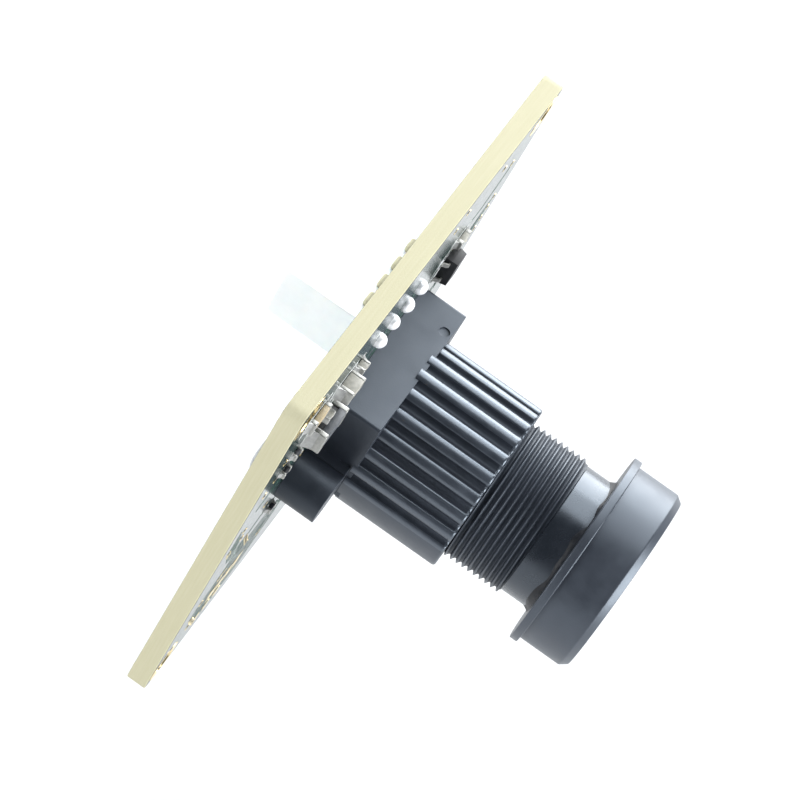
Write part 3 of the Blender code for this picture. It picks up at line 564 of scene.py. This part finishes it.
def build_tracks():
    """Tracks under the mask, vias, bare pads and printed outlines, on both faces."""
    rng = random.Random(7)
    front = bmesh.new()
    routes = [(dogleg(x, PIN_Z - 0.9, -5.5 + 1.9 * n, 7.3, n % 2 == 0), 0.5) for n, x in enumerate(PIN_X)]
    routes += [
        (dogleg(-9.6, 8.9, -6.9, 6.9), 0.8),
        (dogleg(-12.2, 8.9, -15.6, 3.2, False), 0.6),
        (dogleg(7.9, 6.9, 6.9, 3.2, False), 0.3),
        (dogleg(10.1, 6.6, 15.5, 2.0), 0.3),
        (dogleg(11.2, 9.6, 15.2, 13.0), 0.3),
        (dogleg(-10.4, -3.6, -13.0, -9.0), 0.25),
    ]
    for n in range(7):
        z = -7.4 - 0.62 * n
        left = dogleg(-6.4 + 0.5 * n, z, -15.8 + 0.4 * n, -12.4 - 0.62 * n, n % 2 == 0)
        right = dogleg(6.6 - 0.5 * n, z - 0.4, 15.9 - 0.5 * n, -11.2 - 0.6 * n, n % 2 == 1)
        routes += [(left, FINE_TRACK), (right, FINE_TRACK)]
    for n in range(5):
        right = dogleg(11.6 + 0.5 * n, -5.5 + n, 16.8, 1.5 + 1.4 * n, False)
        left = dogleg(-16.8 + 0.5 * n, 1.6 - n, -12.6 + 0.6 * n, -4.5 - n, False)
        routes += [(right, FINE_TRACK), (left, FINE_TRACK)]
    for points, width in routes:
        strip(front, tidy(points), width, *TRACK_BAND)
    piece("front_tracks", front, [MASK_COPPER], weld=False)

    rear = bmesh.new()
    rear_routes = []
    for n, x in enumerate(PIN_X):
        rear_routes.append((dogleg(x, PIN_Z - 2.2, -4.2 + 2.4 * n, 3.2, n % 2 == 0), 0.35))
    for n in range(9):
        rear_routes.append((dogleg(-3.9, -4.6 + 0.75 * n, -14.8 + 0.4 * n, -9.5 + 2.1 * n), FINE_TRACK))
        rear_routes.append((dogleg(4.9, -4.6 + 0.75 * n, 15.2 - 0.4 * n, -10.2 + 2.2 * n), FINE_TRACK))
    for n in range(6):
        rear_routes.append((dogleg(-1.9 + 0.9 * n, -6.0, -4.6 + 2.1 * n, -15.8, False), FINE_TRACK))
    for points, width in rear_routes:
        strip(rear, tidy(points), width, *rear_band(TRACK_BAND))
    piece("rear_tracks", rear, [MASK_COPPER], weld=False)

    vias = bmesh.new()
    spots = [(points[-1][0], points[-1][1]) for points, width in routes if width < 0.4]
    for n in range(46):
        spots.append((rng.uniform(-17.6, 17.6), rng.uniform(-17.6, 17.6)))
    for x, z in spots:
        close_hole = abs(abs(x) - 17) < 2.4 and abs(abs(z) - 17) < 2.4
        under_block = abs(x) < 7 and abs(z) < 7 or abs(z) < 2.4 and abs(x) < 11.6
        near_pins = -7.2 < x < 5.0 and 9.0 < z < 15.6
        if close_hole or under_block or near_pins:
            continue
        profile = ((0.14, 0.05), (0.29, 0.05), (0.3, 0.02), (0.3, -0.02), (0.15, -0.02))
        turn(vias, profile, 18, True, 0, x, z)
        flip = [(r, -BOARD_THICKNESS - f) for r, f in profile]
        turn(vias, flip, 18, True, 0, x, z)
        turn(vias, ((0.145, 0.006), (0.145, -0.02)), 12, False, 1, x, z)
    piece("vias", vias, [GOLD, MASK], weld=False)

    pads = bmesh.new()
    for n in range(4):
        prism(pads, oblong(-9.2 - 1.25 * n, -12.4, 0.95, 1.9, 0.08), *PAD_BAND)
    for n in range(3):
        prism(pads, oblong(-13.6 + 1.5 * n, -15.2, 1.0, 1.0, 0.45), *PAD_BAND)
    for n in range(5):
        prism(pads, oblong(12.2, -6.5 - 1.3 * n, 1.0, 1.0, 0.45), *PAD_BAND)
    for n in range(4):
        prism(pads, oblong(-14.2 + 1.6 * n, 13.4, 1.0, 1.0, 0.45), *rear_band(REAR_PAD_BAND))
    piece("bare_pads", pads, [GOLD], weld=False)

    ink = bmesh.new()

    def frame_lines(boxes, low, high):
        """Four strips round each box, given as x, z, width and depth."""
        for x, z, width, depth in boxes:
            a, b = width / 2, depth / 2
            for side in (-b, b):
                strip(ink, [(x - a, z + side), (x + a, z + side)], INK_WIDTH, low, high)
            for side in (-a, a):
                strip(ink, [(x + side, z - b), (x + side, z + b)], INK_WIDTH, low, high)

    def dot(x, z, low, high):
        turn(ink, ((0.25, high), (0.25, low)), 20, False, 0, x, z)

    front_boxes = ((9.15, 6.9, 3.6, 3.4), (-10.6, 8.9, 4.5, 2.7), (-9.8, 12.9, 3.0, 2.0),
                   (9.9, 9.2, 2.7, 1.3), (-14.2, 13.9, 3.3, 2.0))
    rear_boxes = ((0.5, -1.5, 9.3, 9.3), (HEADER_X, 12.15, 10.6, 5.5), (-9.2, -7.0, 4.1, 3.3),
                  (9.8, -9.6, 3.8, 2.9))
    frame_lines(front_boxes, *INK_BAND)
    frame_lines(rear_boxes, *rear_band(INK_BAND))
    dot(-4.9, 4.1, *rear_band(INK_BAND))
    dot(-2.6, -9.4, *rear_band(INK_BAND))
    dot(-5.6, 13.9, *INK_BAND)
    piece("printed_outlines", ink, [SILK], weld=False)


# Parts on the board

def finish_part(node, bm, x, z, rear, materials, angle=30.0):
    """Moves a part from its own frame (along, up, across) to its place on the board."""
    if rear:
        matrix = Matrix.Translation((x, BOARD_THICKNESS, z))
    else:
        matrix = Matrix.Translation((x, 0, z)) @ Matrix.Scale(-1, 4, (0, 1, 0))
    bmesh.ops.transform(bm, matrix=matrix, verts=bm.verts)
    piece(f"{node}_part", bm, materials, [node], angle, False)


def fillet_wedge(bm, side, edge, width, height, reach, index):
    """Concave solder fillet against the end of a chip."""
    steps = 6
    loops = []
    for step in range(steps + 1):
        t = step / steps
        out = side * (edge + reach * t)
        up = height * (1 - t) ** 2.2 + 0.02
        half = width / 2 * (1 + 0.16 * t)
        corners = ((up, -half), (up, half), (0.0, half), (0.0, -half))
        loops.append([bm.verts.new((out, level, across)) for level, across in corners])
    lofted(bm, loops, index)


def build_chip(node, x, z, size, cap_length, body_material, slot, rear=False, base=0.0):
    """Chip with a body, wrapped metal ends, solder fillets and its two lands."""
    length, height, width = size
    bm = bmesh.new()
    pad = 0.35
    ends = length / 2 - cap_length * 0.8
    block(bm, (-ends, 0.06 + base, -width / 2), (ends, height, width / 2), 0.05, 0)
    if base:
        block(bm, (-ends, 0.06, 0.1 - width / 2), (ends, 0.1 + base, width / 2 - 0.1), 0.03, 3)
    for side in (-1, 1):
        near, far = side * (length / 2 - cap_length), side * length / 2
        across = width / 2 + PART_GAP
        round_off = min(0.09, cap_length / 3)
        block(bm, (near, PART_GAP, -across), (far, height + PART_GAP, across), round_off, 1, 3)
        fillet_wedge(bm, side, length / 2 - 0.02, width, height * 0.62, pad, 2)
        a, b = side * (length / 2 - cap_length * 0.9), side * (length / 2 + pad + 0.08)
        block(bm, (a, 0.0, -width / 2 - 0.1), (b, 0.05, width / 2 + 0.1), 0.0, 2)
    finish_part(node, bm, x, z, rear, [body_material, TIN, FILLET, MOULD], 40.0)


def gull_leg(bm, side, across, body_half, reach, height, width, thickness, index):
    """A bent leg as a band that follows shoulder, slope and foot."""
    path = ((body_half - 0.1, height), (body_half + 0.14, height), (body_half + 0.24, height * 0.8),
            (body_half + 0.34, 0.2), (body_half + 0.46, 0.1), (body_half + reach, 0.1))
    loops = []
    for n, (out, up) in enumerate(path):
        before = Vector(path[max(n - 1, 0)])
        after = Vector(path[min(n + 1, len(path) - 1)])
        normal = Vector((-(after - before).y, (after - before).x)).normalized() * thickness / 2
        corners = []
        for sign, edge in ((1, -1), (1, 1), (-1, 1), (-1, -1)):
            point = Vector((out, up)) + normal * sign
            corners.append(bm.verts.new((side * point.x, max(point.y, 0.02), across + edge * width / 2)))
        loops.append(corners)
    lofted(bm, loops, index)
    foot = body_half + reach
    a, b = side * (foot - 0.45), side * (foot + 0.14)
    land = width / 2 + 0.1
    block(bm, (a, 0.0, across - land), (b, 0.07, across + land), 0.02, 2)


def moulded(bm, half_along, low, high, half_across):
    """Moulded body whose sides draft away from a parting line."""
    middle = (low + high) / 2
    levels = ((low, 0.07), (middle - 0.04, 0.0), (middle + 0.04, 0.0), (high, 0.07))
    loops = []
    for up, draw in levels:
        a, c = half_along - draw, half_across - draw
        outline = rounded(((-a, -c), (a, -c), (a, c), (-a, c)), 0.06, 2)
        loops.append([bm.verts.new((p, up, q)) for p, q in outline])
    lofted(bm, loops)


RESISTOR_CHIP = ((1.0, 0.4, 0.55), 0.22, RESISTOR, "black_mould")
TAN_CHIP = ((1.6, 0.8, 0.8), 0.35, TAN, "ceramic")


def build_front_parts():
    """Rows give the node, x, z, size (along, up, across), end length, material and slot."""
    rows = (
        ("front_inductor", -10.6, 8.9, (3.3, 1.25, 2.0), 0.45, CASE, "grey_case"),
        ("front_capacitor_tan", -14.2, 13.9, (2.3, 0.5, 1.3), 0.4, TAN, "ceramic"),
        ("front_capacitor_large", -9.8, 12.9, (1.9, 1.15, 1.3), 0.32, CERAMIC, "ceramic"),
        ("front_capacitor_small", -7.5, 12.6, (1.0, 0.7, 0.6), 0.25, CERAMIC, "ceramic"),
        ("front_capacitor_side", 9.9, 9.2, (1.6, 0.5, 0.8), 0.4, CERAMIC, "ceramic"),
        ("front_capacitor_mid", -11.6, 11.3, (1.0, 0.75, 0.6), 0.25, CERAMIC, "ceramic"),
        ("front_resistor_upper", -14.1, 9.1, *RESISTOR_CHIP),
        ("front_resistor_lower", -14.6, 7.4, *RESISTOR_CHIP),
        ("front_resistor_ear", -9.9, -3.6, (0.9, 0.4, 0.5), 0.2, RESISTOR, "black_mould"),
    )
    for node, *rest in rows:
        build_chip(node, *rest, base=0.6 if node == "front_inductor" else 0.0)
    bm = bmesh.new()
    moulded(bm, 0.775, 0.1, 1.1, 1.4)
    for side, across in ((-1, -0.95), (-1, 0.95), (1, 0.0)):
        gull_leg(bm, side, across, 0.75, 0.64, 0.55, 0.4, 0.12, 1)
    finish_part("front_regulator", bm, 9.15, 6.9, False, [MOULD, TIN, SOLDER])


def build_rear_parts():
    rows = (
        ("rear_capacitor_left", -6.9, 5.4, *TAN_CHIP),
        ("rear_capacitor_right", 6.2, 5.6, *TAN_CHIP),
        ("rear_capacitor_low", -4.9, -9.8, *TAN_CHIP),
        ("rear_resistor_left", -6.6, -2.4, *RESISTOR_CHIP),
        ("rear_resistor_right", 7.4, -5.2, *RESISTOR_CHIP),
        ("rear_inductor", 9.8, -9.6, (2.6, 1.2, 2.1), 0.55, CASE, "grey_case"),
    )
    for row in rows:
        build_chip(*row, rear=True)

    bm = bmesh.new()
    moulded(bm, 4.0, 0.05, 0.95, 4.0)
    for row in range(12):
        at = -3.3 + 0.6 * row
        for side in (-1, 1):
            a, b = side * 3.75, side * 4.32
            block(bm, (a, 0.0, at - 0.14), (b, 0.09, at + 0.14), 0.03, 1)
            block(bm, (at - 0.14, 0.0, a), (at + 0.14, 0.09, b), 0.03, 1)
    disc(bm, 0.3, 0.02, 24, (-3.2, 0.955, 3.2), 2, Matrix.Rotation(math.radians(90), 4, "X"))
    finish_part("rear_processor", bm, 0.5, -1.5, True, [MOULD, TIN, CASE])

    bm = bmesh.new()
    moulded(bm, 1.95, 0.12, 1.42, 2.45)
    for side in (-1, 1):
        for row in range(4):
            gull_leg(bm, side, -1.905 + 1.27 * row, 1.95, 0.8, 0.75, 0.4, 0.18, 1)
    finish_part("rear_memory", bm, 0.8, -12.3, True, [MOULD, TIN, SOLDER])

    bm = bmesh.new()
    block(bm, (-1.6, 0.05, -1.25), (1.6, 0.4, 1.25), 0.1, 1)
    block(bm, (-1.42, 0.38, -1.07), (1.42, 0.85, 1.07), 0.12, 0, 3)
    for a in (-1, 1):
        for c in (-1, 1):
            block(bm, (a * 0.75, 0.0, c * 0.55), (a * 1.75, 0.07, c * 1.4), 0.02, 2)
    finish_part("rear_crystal", bm, -9.2, -7.0, True, [CAN, CERAMIC, SOLDER])


# Header and pins

def build_header():
    rear = BOARD_THICKNESS + PART_GAP
    top = rear + 5.95
    low_z = HEADER_TOP_Z - 4.9
    half = 4.95
    wall = 0.55
    floor = rear + 1.7
    bm = bmesh.new()
    block(bm, (HEADER_X - half, rear, low_z), (HEADER_X + half, top, HEADER_TOP_Z))
    low = (HEADER_X - 4.4, floor, low_z + wall)
    bm = carve_block(bm, low, (HEADER_X + 4.4, top + 1, HEADER_TOP_Z - wall))
    cuts = bmesh.new()
    for x in PIN_X:
        block(cuts, (x - 0.575, rear - FOOT_NOTCH, HEADER_TOP_Z - wall),
              (x + 0.575, rear + FOOT_NOTCH, HEADER_TOP_Z + wall))
    for side in (-1, 1):
        x = HEADER_X + side * 2.6
        block(cuts, (x - 0.7, top - 3.8, low_z - 0.75), (x + 0.7, top + 0.6, low_z + 0.75))
    bm = carve(bm, cuts)
    bm = soften(bm, 0.1, 3)
    piece("header_shroud", bm, [NYLON], ["connector_housing"], 50.0, flat=True)

    # Laminate-coloured blocks set into the shroud's foot notches: painted reflection of the board in the
    # shaded notches.
    notch_fill = bmesh.new()
    for x in PIN_X:
        low = (x - 0.56, BOARD_THICKNESS + 0.02, HEADER_TOP_Z - 0.3)
        block(notch_fill, low, (x + 0.56, rear + FOOT_NOTCH + 0.2, HEADER_TOP_Z + 0.45), 0.2, 0, 4)
    piece("header_notch_painted_reflection", notch_fill, [LAMINATE], [], 50.0)

    signs = ((-1, -1), (1, -1), (1, 1), (-1, 1))
    levels = ((0.55, -0.4), (0.8, -0.35), (1.0, -0.3), (1.0, rear + 4.3), (0.55, rear + 4.85))
    for number, x in enumerate(PIN_X, start=1):
        bm = bmesh.new()
        loops = []
        for share, y in levels:
            h = PIN_HALF * share
            loops.append([bm.verts.new((x + a * h, y, PIN_Z + c * h)) for a, c in signs])
        lofted(bm, loops)
        tall = SOLDER_HEIGHT + 0.04 * math.sin(2.3 * number)
        wide = SOLDER_RADIUS + 0.03 * math.cos(1.9 * number)
        skirt = 0.12
        steps = 14
        profile = [(0.02, tall)]
        for step in range(1, steps + 1):
            lean = math.radians(90 * step / steps)
            profile.append((wide * math.sin(lean), (tall - skirt) * math.cos(lean) + skirt))
        profile += [(SOLDER_RADIUS + 0.01, 0.02), (0.48, -0.06), (0.48, -BOARD_THICKNESS + 0.02),
                    (0.78, -BOARD_THICKNESS), (0.76, -BOARD_THICKNESS - 0.045),
                    (0.2, -BOARD_THICKNESS - 0.05)]
        turn(bm, profile, 32, False, 1, x, PIN_Z)
        piece(f"header_pin_{number}", bm, [TIN, SOLDER],
              [f"connector_terminal_{number}"], 40.0, False)


# Lens holder

def build_holder():
    bm = bmesh.new()
    cut = BLOCK_HALF - BLOCK_CORNER_CUT
    corners = ((cut, -BLOCK_HALF), (BLOCK_HALF, -cut), (BLOCK_HALF, BLOCK_HALF),
               (-BLOCK_HALF, BLOCK_HALF), (-BLOCK_HALF, -cut), (-cut, -BLOCK_HALF))
    prism(bm, rounded(corners, 0.25, 3), PART_GAP, BLOCK_HEIGHT)
    for side in (-1, 1):
        ear = bmesh.new()
        turn(ear, ((EAR_RADIUS, 3.35), (EAR_RADIUS, PART_GAP)), 64, False, 0, side * EAR_X, 0.0)
        bm = carve(bm, ear, "UNION")
        bm = carve_block(bm, (side * 4.0, -3.3, -1.25), (side * EAR_X, -PART_GAP, 1.25), "UNION")
    dimple = bmesh.new()
    disc(dimple, 0.42, 0.24, 28, (4.1, -3.1, BLOCK_HALF))
    bm = carve(bm, dimple)
    bm = soften(bm, 0.12, 3, 40)
    bm = carve_block(bm, (-4.25, -2.6, -4.25), (4.25, 1.0, 4.25))
    bm = carve_block(bm, (-4.2, -3.2, -4.2), (4.2, 0.0, 4.2))
    bore = bmesh.new()
    turn(bore, ((3.6, 2.0), (3.6, 3.4), (5.7, 3.5), (5.7, 5.0)), 64, False)
    bm = carve(bm, bore)
    screws = bmesh.new()
    for side in (-1, 1):
        turn(screws, ((0.9, 2.8), (0.9, -1.0)), 32, False, 0, side * EAR_X, 0.0)
    bm = carve(bm, screws)
    piece("holder_base", bm, [HOLDER_BASE], ["lens_holder"], 40.0, flat=True)


def barrel_outline(sectors, samples, smooth):
    """Ribs with rounded crowns between hollow grooves, as angles and radii all round."""
    spacing = 360.0 / sectors
    angles = []
    radii = []
    for sector in range(sectors):
        for sample in range(samples):
            share = sample / samples
            angles.append(math.radians(GROOVE_START + spacing * (sector - 0.5 + share)))
            radius = BARREL_RADIUS
            if sector not in smooth:
                pitch = BARREL_RADIUS * math.radians(spacing)
                across = pitch * min(share, 1 - share)
                crown = min(across, RIB_HALF)
                radius -= RIB_CROWN - math.sqrt(RIB_CROWN ** 2 - crown ** 2)
                if across > RIB_HALF:
                    groove = pitch / 2 - RIB_HALF
                    radius -= math.sqrt(max(groove ** 2 - (pitch / 2 - across) ** 2, 0.0))
            radii.append(radius)
    count = len(radii)
    return angles, [(radii[n - 1] + 2 * radii[n] + radii[(n + 1) % count]) / 4 for n in range(count)]


def build_barrel():
    wall = bmesh.new()
    sectors = 24
    smooth = (0, 1, 12, 13)
    angles, outline = barrel_outline(sectors, 40, smooth)
    foot = 3.4
    outside = ((foot, 0.0), (11.82, 0.03), (11.92, 0.05), (11.99, 0.09), (12.04, 0.15), (BARREL_END, 0.22))
    inside = ((BARREL_END, 6.12), (12.02, 6.0), (11.86, 5.86), (foot, 5.86))
    levels = [(forward, [radius - draw for radius in outline]) for forward, draw in outside]
    levels += [(forward, [bore] * len(outline)) for forward, bore in inside]
    rings = []
    for forward, radii in levels:
        rings.append([polar(wall, radius, forward, angle) for angle, radius in zip(angles, radii)])
    hollow(wall, rings)
    for face in wall.faces:
        middle = face.calc_center_median()
        depth = math.hypot(middle.x, middle.z)
        turned = math.degrees(math.atan2(middle.z, middle.x)) - GROOVE_START
        if round(turned * sectors / 360.0) % sectors in smooth:
            face.material_index = 2
        # Groove faces take the darker groove material: painted shade in the grooves.
        elif 6.2 < depth < BARREL_RADIUS - 0.22 and -middle.y < 11.8:
            face.material_index = 1
    piece("holder_grooved_barrel", wall, [HOLDER_RIB, HOLDER_GROOVE_SHADE, HOLDER],
          angle=42.0)


def build_screws():
    rear = -BOARD_THICKNESS - PART_GAP
    head = [(0.4, rear - 1.13), (0.9, rear - 1.1), (1.3, rear - 1.0), (1.58, rear - 0.78),
            (1.73, rear - 0.45), (1.75, rear - 0.2), (1.72, rear), (0.82, rear)]
    for label, x in (("left", -EAR_X), ("right", EAR_X)):
        screw = bmesh.new()
        thread = []
        for turn_number in range(9):
            at = rear + 0.2 + 0.42 * turn_number
            thread += [(0.74, at), (0.74, at + 0.12), (0.83, at + 0.21), (0.74, at + 0.3)]
        turn(screw, head + thread + [(0.7, 2.6), (0.3, 2.75)], 48, False, 0, x, 0.0)
        for along, across in ((0.85, 0.18), (0.18, 0.85)):
            low = (x - along, -rear + 0.6, -across)
            screw = carve_block(screw, low, (x + along, -rear + 2.0, across))
        piece(f"ear_screw_{label}", screw, [STEEL], [f"holder_screw_{label}"])


# Lens

def helix(bm, lower, upper, start, turns, root, crest, limit):
    """Right-handed thread between two rings, faded in at the rear and cut off at the limit."""
    segments = len(lower)
    # One turn's outline, as forward distance and share of the thread's height.
    shape = ((0.0, 0.0), (0.09, 0.0), (0.17, 0.55), (0.225, 0.93), (0.27, 1.0), (0.315, 0.93), (0.37, 0.55))
    flatten = 0.02
    corners = len(shape)
    rows = corners * turns
    columns = []
    for index in range(segments):
        angle = 2 * math.pi * index / segments
        count = rows + 1 + (corners if index == 0 else 0)
        column = []
        for row in range(count):
            offset, height = shape[row % corners]
            along = row // corners + index / segments
            fade = max(0.0, min(1.0, (along - 0.15) / 0.7, (turns + 1 - 0.04 - along) / 0.3))
            radius = root + (crest - root) * height * fade
            forward = start + PITCH * along + offset
            if forward > limit:
                forward = limit + flatten * (forward - limit)
                radius = root + flatten * (radius - root)
            column.append(polar(bm, radius, forward, angle))
        columns.append(column)
    first, second, last = columns[0], columns[1], columns[-1]
    for index in range(segments - 1):
        here, there = columns[index], columns[index + 1]
        for row in range(rows):
            bm.faces.new((here[row], there[row], there[row + 1], here[row + 1]))
        bm.faces.new((lower[index], lower[index + 1], there[0], here[0]))
    for row in range(rows):
        above = row + corners
        bm.faces.new((last[row], first[above], first[above + 1], last[row + 1]))
    bm.faces.new((last[0], lower[-1], lower[0]))
    bm.faces.new((last[0], lower[0], first[0]))
    for row in range(corners):
        bm.faces.new((last[0], first[row], first[row + 1]))
    for index in range(1, segments - 1):
        here, there = columns[index][rows], columns[index + 1][rows]
        bm.faces.new((here, there, upper[index + 1], upper[index]))
    bm.faces.new((last[rows], first[rows + corners], upper[0], upper[-1]))
    bm.faces.new((second[rows], upper[1], upper[0]))
    bm.faces.new((second[rows], upper[0], first[rows + corners]))
    for row in range(rows, rows + corners):
        bm.faces.new((second[rows], first[row + 1], first[row]))


def build_lens_barrel():
    bm = bmesh.new()
    segments = 96
    neck = 5.38
    start, turns = 7.65, 18
    lower = ring(bm, THREAD_ROOT, start - 0.08, segments)
    end = 16.86
    upper = ring(bm, THREAD_ROOT, end + 0.04, segments)
    helix(bm, lower, upper, start, turns, THREAD_ROOT, THREAD_CREST, end)
    outside = ((5.42, end + 0.07), (neck, end + 0.12), (neck, end + 0.16), (neck, end + 0.3),
               (neck, 20.2), (neck, 20.3))
    inside = ((4.75, 20.3), (4.75, 14.2), (3.0, 14.2), (3.0, 13.6), (4.2, 13.6), (4.2, 6.6),
              (5.2, 6.6), (5.4, 6.75))
    loops = [ring(bm, radius, forward, segments) for radius, forward in outside + inside]
    bridge(bm, upper, loops[0])
    for number, (first, second) in enumerate(zip(loops, loops[1:]), start=1):
        bridge(bm, first, second, 1 if number < len(outside) else 0)
    bridge(bm, loops[-1], lower)
    for face in bm.faces:
        middle = face.calc_center_median()
        depth = math.hypot(middle.x, middle.z)
        if 5.3 < depth < THREAD_ROOT + 0.02 and -middle.y > end + 0.03:
            face.material_index = 1
        # Thread roots take the darker groove material: painted shade between the thread's turns.
        elif 5.3 < depth < THREAD_ROOT + 0.09 and -middle.y > start:
            face.material_index = 2
    piece("threaded_lens_barrel", bm, [LENS, LENS_NECK, HOLDER_GROOVE_SHADE],
          ["lens_barrel"], 50.0, body="lens_tube")


def build_lens_head():
    bm = bmesh.new()
    corners = ((5.42, 19.37), (7.82, 19.37), (7.82, 19.99), (7.42, 19.99), (7.42, 23.37), (7.02, 23.92),
               (6.55, 23.92), (6.35, 23.62), (6.35, 20.75), (4.3, 20.75), (4.3, 20.34), (5.42, 20.34))
    radii = (0.05, 0.07, 0.07, 0.05, 0.25, 0.12, 0.06, 0.06, 0, 0, 0, 0)
    turn(bm, rounded(corners, radii, 5), 160)
    piece("lens_head_shell", bm, [LENS], ["lens_head"], 40.0, body="lens_tube")


def build_adhesive():
    """An uneven bead of adhesive where the neck meets the head."""
    bm = bmesh.new()
    rng = random.Random(3)
    segments = 120
    phases = [rng.uniform(0, 2 * math.pi) for n in range(5)]
    loops = []
    for share in (0.0, 0.35, 0.75, 1.0):
        loop = []
        for index in range(segments):
            angle = 2 * math.pi * index / segments
            swell = sum(math.sin((2 + 3 * n) * angle + phases[n]) / (1.4 + 0.6 * n) for n in range(5))
            reach = max(0.08, 0.36 + 0.22 * swell)
            radius = 5.36 + 0.6 * share * reach + (0.02 if share else 0.0)
            forward = 19.36 - reach * (1 - share) ** 1.6
            loop.append(polar(bm, radius, forward, angle))
        loops.append(loop)
    loops.append(ring(bm, 5.34, 19.38, segments))
    hollow(bm, loops)
    piece("neck_adhesive", bm, [GLUE], angle=60.0, body="lens_tube")


def build_optics():
    def glass(name, node, radius, rear, front, rear_sag, front_sag):
        """Sag is how far the middle of a face stands out (above zero) or in."""
        solid = bmesh.new()
        steps = 13
        shares = [0.02 + 0.98 * n / steps for n in range(steps + 1)]
        profile = [(radius * t, rear - rear_sag * (1 - t ** 2)) for t in shares]
        profile += [(radius * t, front + front_sag * (1 - t ** 2)) for t in reversed(shares)]
        turn(solid, profile, 96, False)
        piece(name, solid, [GLASS], [node], 30.0, body="lens_optics")

    glass("front_glass", "front_element", 6.2, 20.85, 21.95, -0.6, 1.1)
    glass("second_glass", "second_element", 4.65, 17.3, 18.9, 0.6, -0.5)
    glass("rear_glass", "rear_element", 4.1, 8.6, 10.6, 0.5, 0.7)

    bm = bmesh.new()
    corners = [(5.4, 22.4), (6.3, 22.4), (6.3, 23.45), (5.75, 23.45)]
    corners += [(5.7 - 0.06 * n + (0.05 if n % 2 else 0.0), 23.4 - 0.15 * n) for n in range(5)]
    turn(bm, corners, 120)
    piece("stepped_retaining_ring", bm, [BLACK_METAL],
          ["front_retaining_ring"], 25.0, body="lens_tube")


def paint(node, made):
    """Gives a CAD node that stays in view its material."""
    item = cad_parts[node]
    item.data.materials.clear()
    item.data.materials.append(made)


build_board()
build_tracks()
build_front_parts()
build_rear_parts()
build_header()
build_holder()
build_barrel()
build_screws()
build_lens_barrel()
build_lens_head()
build_adhesive()
build_optics()
paint("ir_filter", FILTER)
paint("image_sensor_package", PACKAGE)
paint("sensor_die", DIE)
paint("sensor_cover_glass", GLASS)
for metal_node in ("front_spacer_ring", "middle_spacer_ring", "rear_spacer_ring", "rear_retaining_ring",
                   "aperture_stop"):
    paint(metal_node, BLACK_METAL)


# Stage, lights, camera

def build_stage():
    bm = bmesh.new()
    half = FLOOR_HALF
    sides = ((-half, -half), (half, -half), (half, half), (-half, half))
    bm.faces.new([bm.verts.new((x * MM, y * MM, FLOOR_Z * MM)) for x, y in sides])
    mesh = bpy.data.meshes.new("studio_floor")
    bm.to_mesh(mesh)
    bm.free()
    mesh.materials.append(make_floor())
    floor = bpy.data.objects.new("studio_floor", mesh)
    bpy.context.scene.collection.objects.link(floor)


def add_light(name, location, size, energy):
    """A soft rectangular light that faces the origin. Metres and watts."""
    data = bpy.data.lights.new(name, "AREA")
    data.shape = "RECTANGLE"
    data.size = size[0]
    data.size_y = size[1]
    data.energy = energy
    data.color = (0.96, 0.985, 1.0)
    item = bpy.data.objects.new(name, data)
    item.location = location
    item.rotation_euler = (-Vector(location)).to_track_quat("-Z", "Y").to_euler()
    item.visible_camera = False
    bpy.context.scene.collection.objects.link(item)


def build_world():
    """A pale backdrop to the eye, and a much dimmer cool light on the object."""
    world = bpy.data.worlds.new("studio_world")
    bpy.context.scene.world = world
    world.use_nodes = True
    tree = world.node_tree
    tree.nodes.clear()
    output = add_node(tree, "OutputWorld", {})
    mix = add_node(tree, "MixShader", {})
    path = add_node(tree, "LightPath", {})
    link(tree, path, "Is Camera Ray", mix, "Fac")
    looks = (((0.80, 0.90, 1.0, 1.0), 0.09), ((0.97, 0.975, 0.98, 1.0), 1.0))
    for socket, (colour, strength) in enumerate(looks, start=1):
        backdrop = add_node(tree, "Background", {"Color": colour, "Strength": strength})
        tree.links.new(backdrop.outputs[0], mix.inputs[socket])
    link(tree, mix, "Shader", output, "Surface")


def build_camera():
    data = bpy.data.cameras.new("studio_camera")
    data.lens = FOCAL_LENGTH
    data.sensor_width = SENSOR_WIDTH
    data.clip_start = 0.01
    data.clip_end = 10.0
    camera = bpy.data.objects.new("studio_camera", data)
    azimuth = math.radians(CAMERA_AZIMUTH)
    elevation = math.radians(CAMERA_ELEVATION)
    roll = math.radians(CAMERA_ROLL)
    level = math.cos(elevation)
    back = Vector((math.sin(azimuth) * level, -math.cos(azimuth) * level, math.sin(elevation)))
    right = (-back).cross(Vector((0, 0, 1))).normalized()
    up = right.cross(-back).normalized()
    right_rolled = right * math.cos(roll) + up * math.sin(roll)
    up_rolled = up * math.cos(roll) - right * math.sin(roll)
    spot = (Vector(CAMERA_AIM) + back * CAMERA_DISTANCE) * MM
    rotation = Matrix((right_rolled, up_rolled, back)).transposed()
    camera.matrix_world = Matrix.Translation(spot) @ rotation.to_4x4()
    bpy.context.scene.collection.objects.link(camera)
    bpy.context.scene.camera = camera


build_stage()
build_world()
add_light("back_softbox", (0.45, 0.04, 0.14), (0.6, 0.5), 7.6)
add_light("overhead_softbox", (0.19, 0.04, 0.44), (0.36, 0.4), 1.9)
add_light("rear_left_fill", (-0.33, 0.33, 0.08), (0.35, 0.35), 3.1)
add_light("front_softbox", (-0.08, -0.45, 0.10), (0.4, 0.3), 4.1)
build_camera()
bpy.context.scene.view_settings.view_transform = "Standard"
bpy.context.scene.view_settings.look = "None"
bpy.context.scene.view_settings.exposure = 0.0
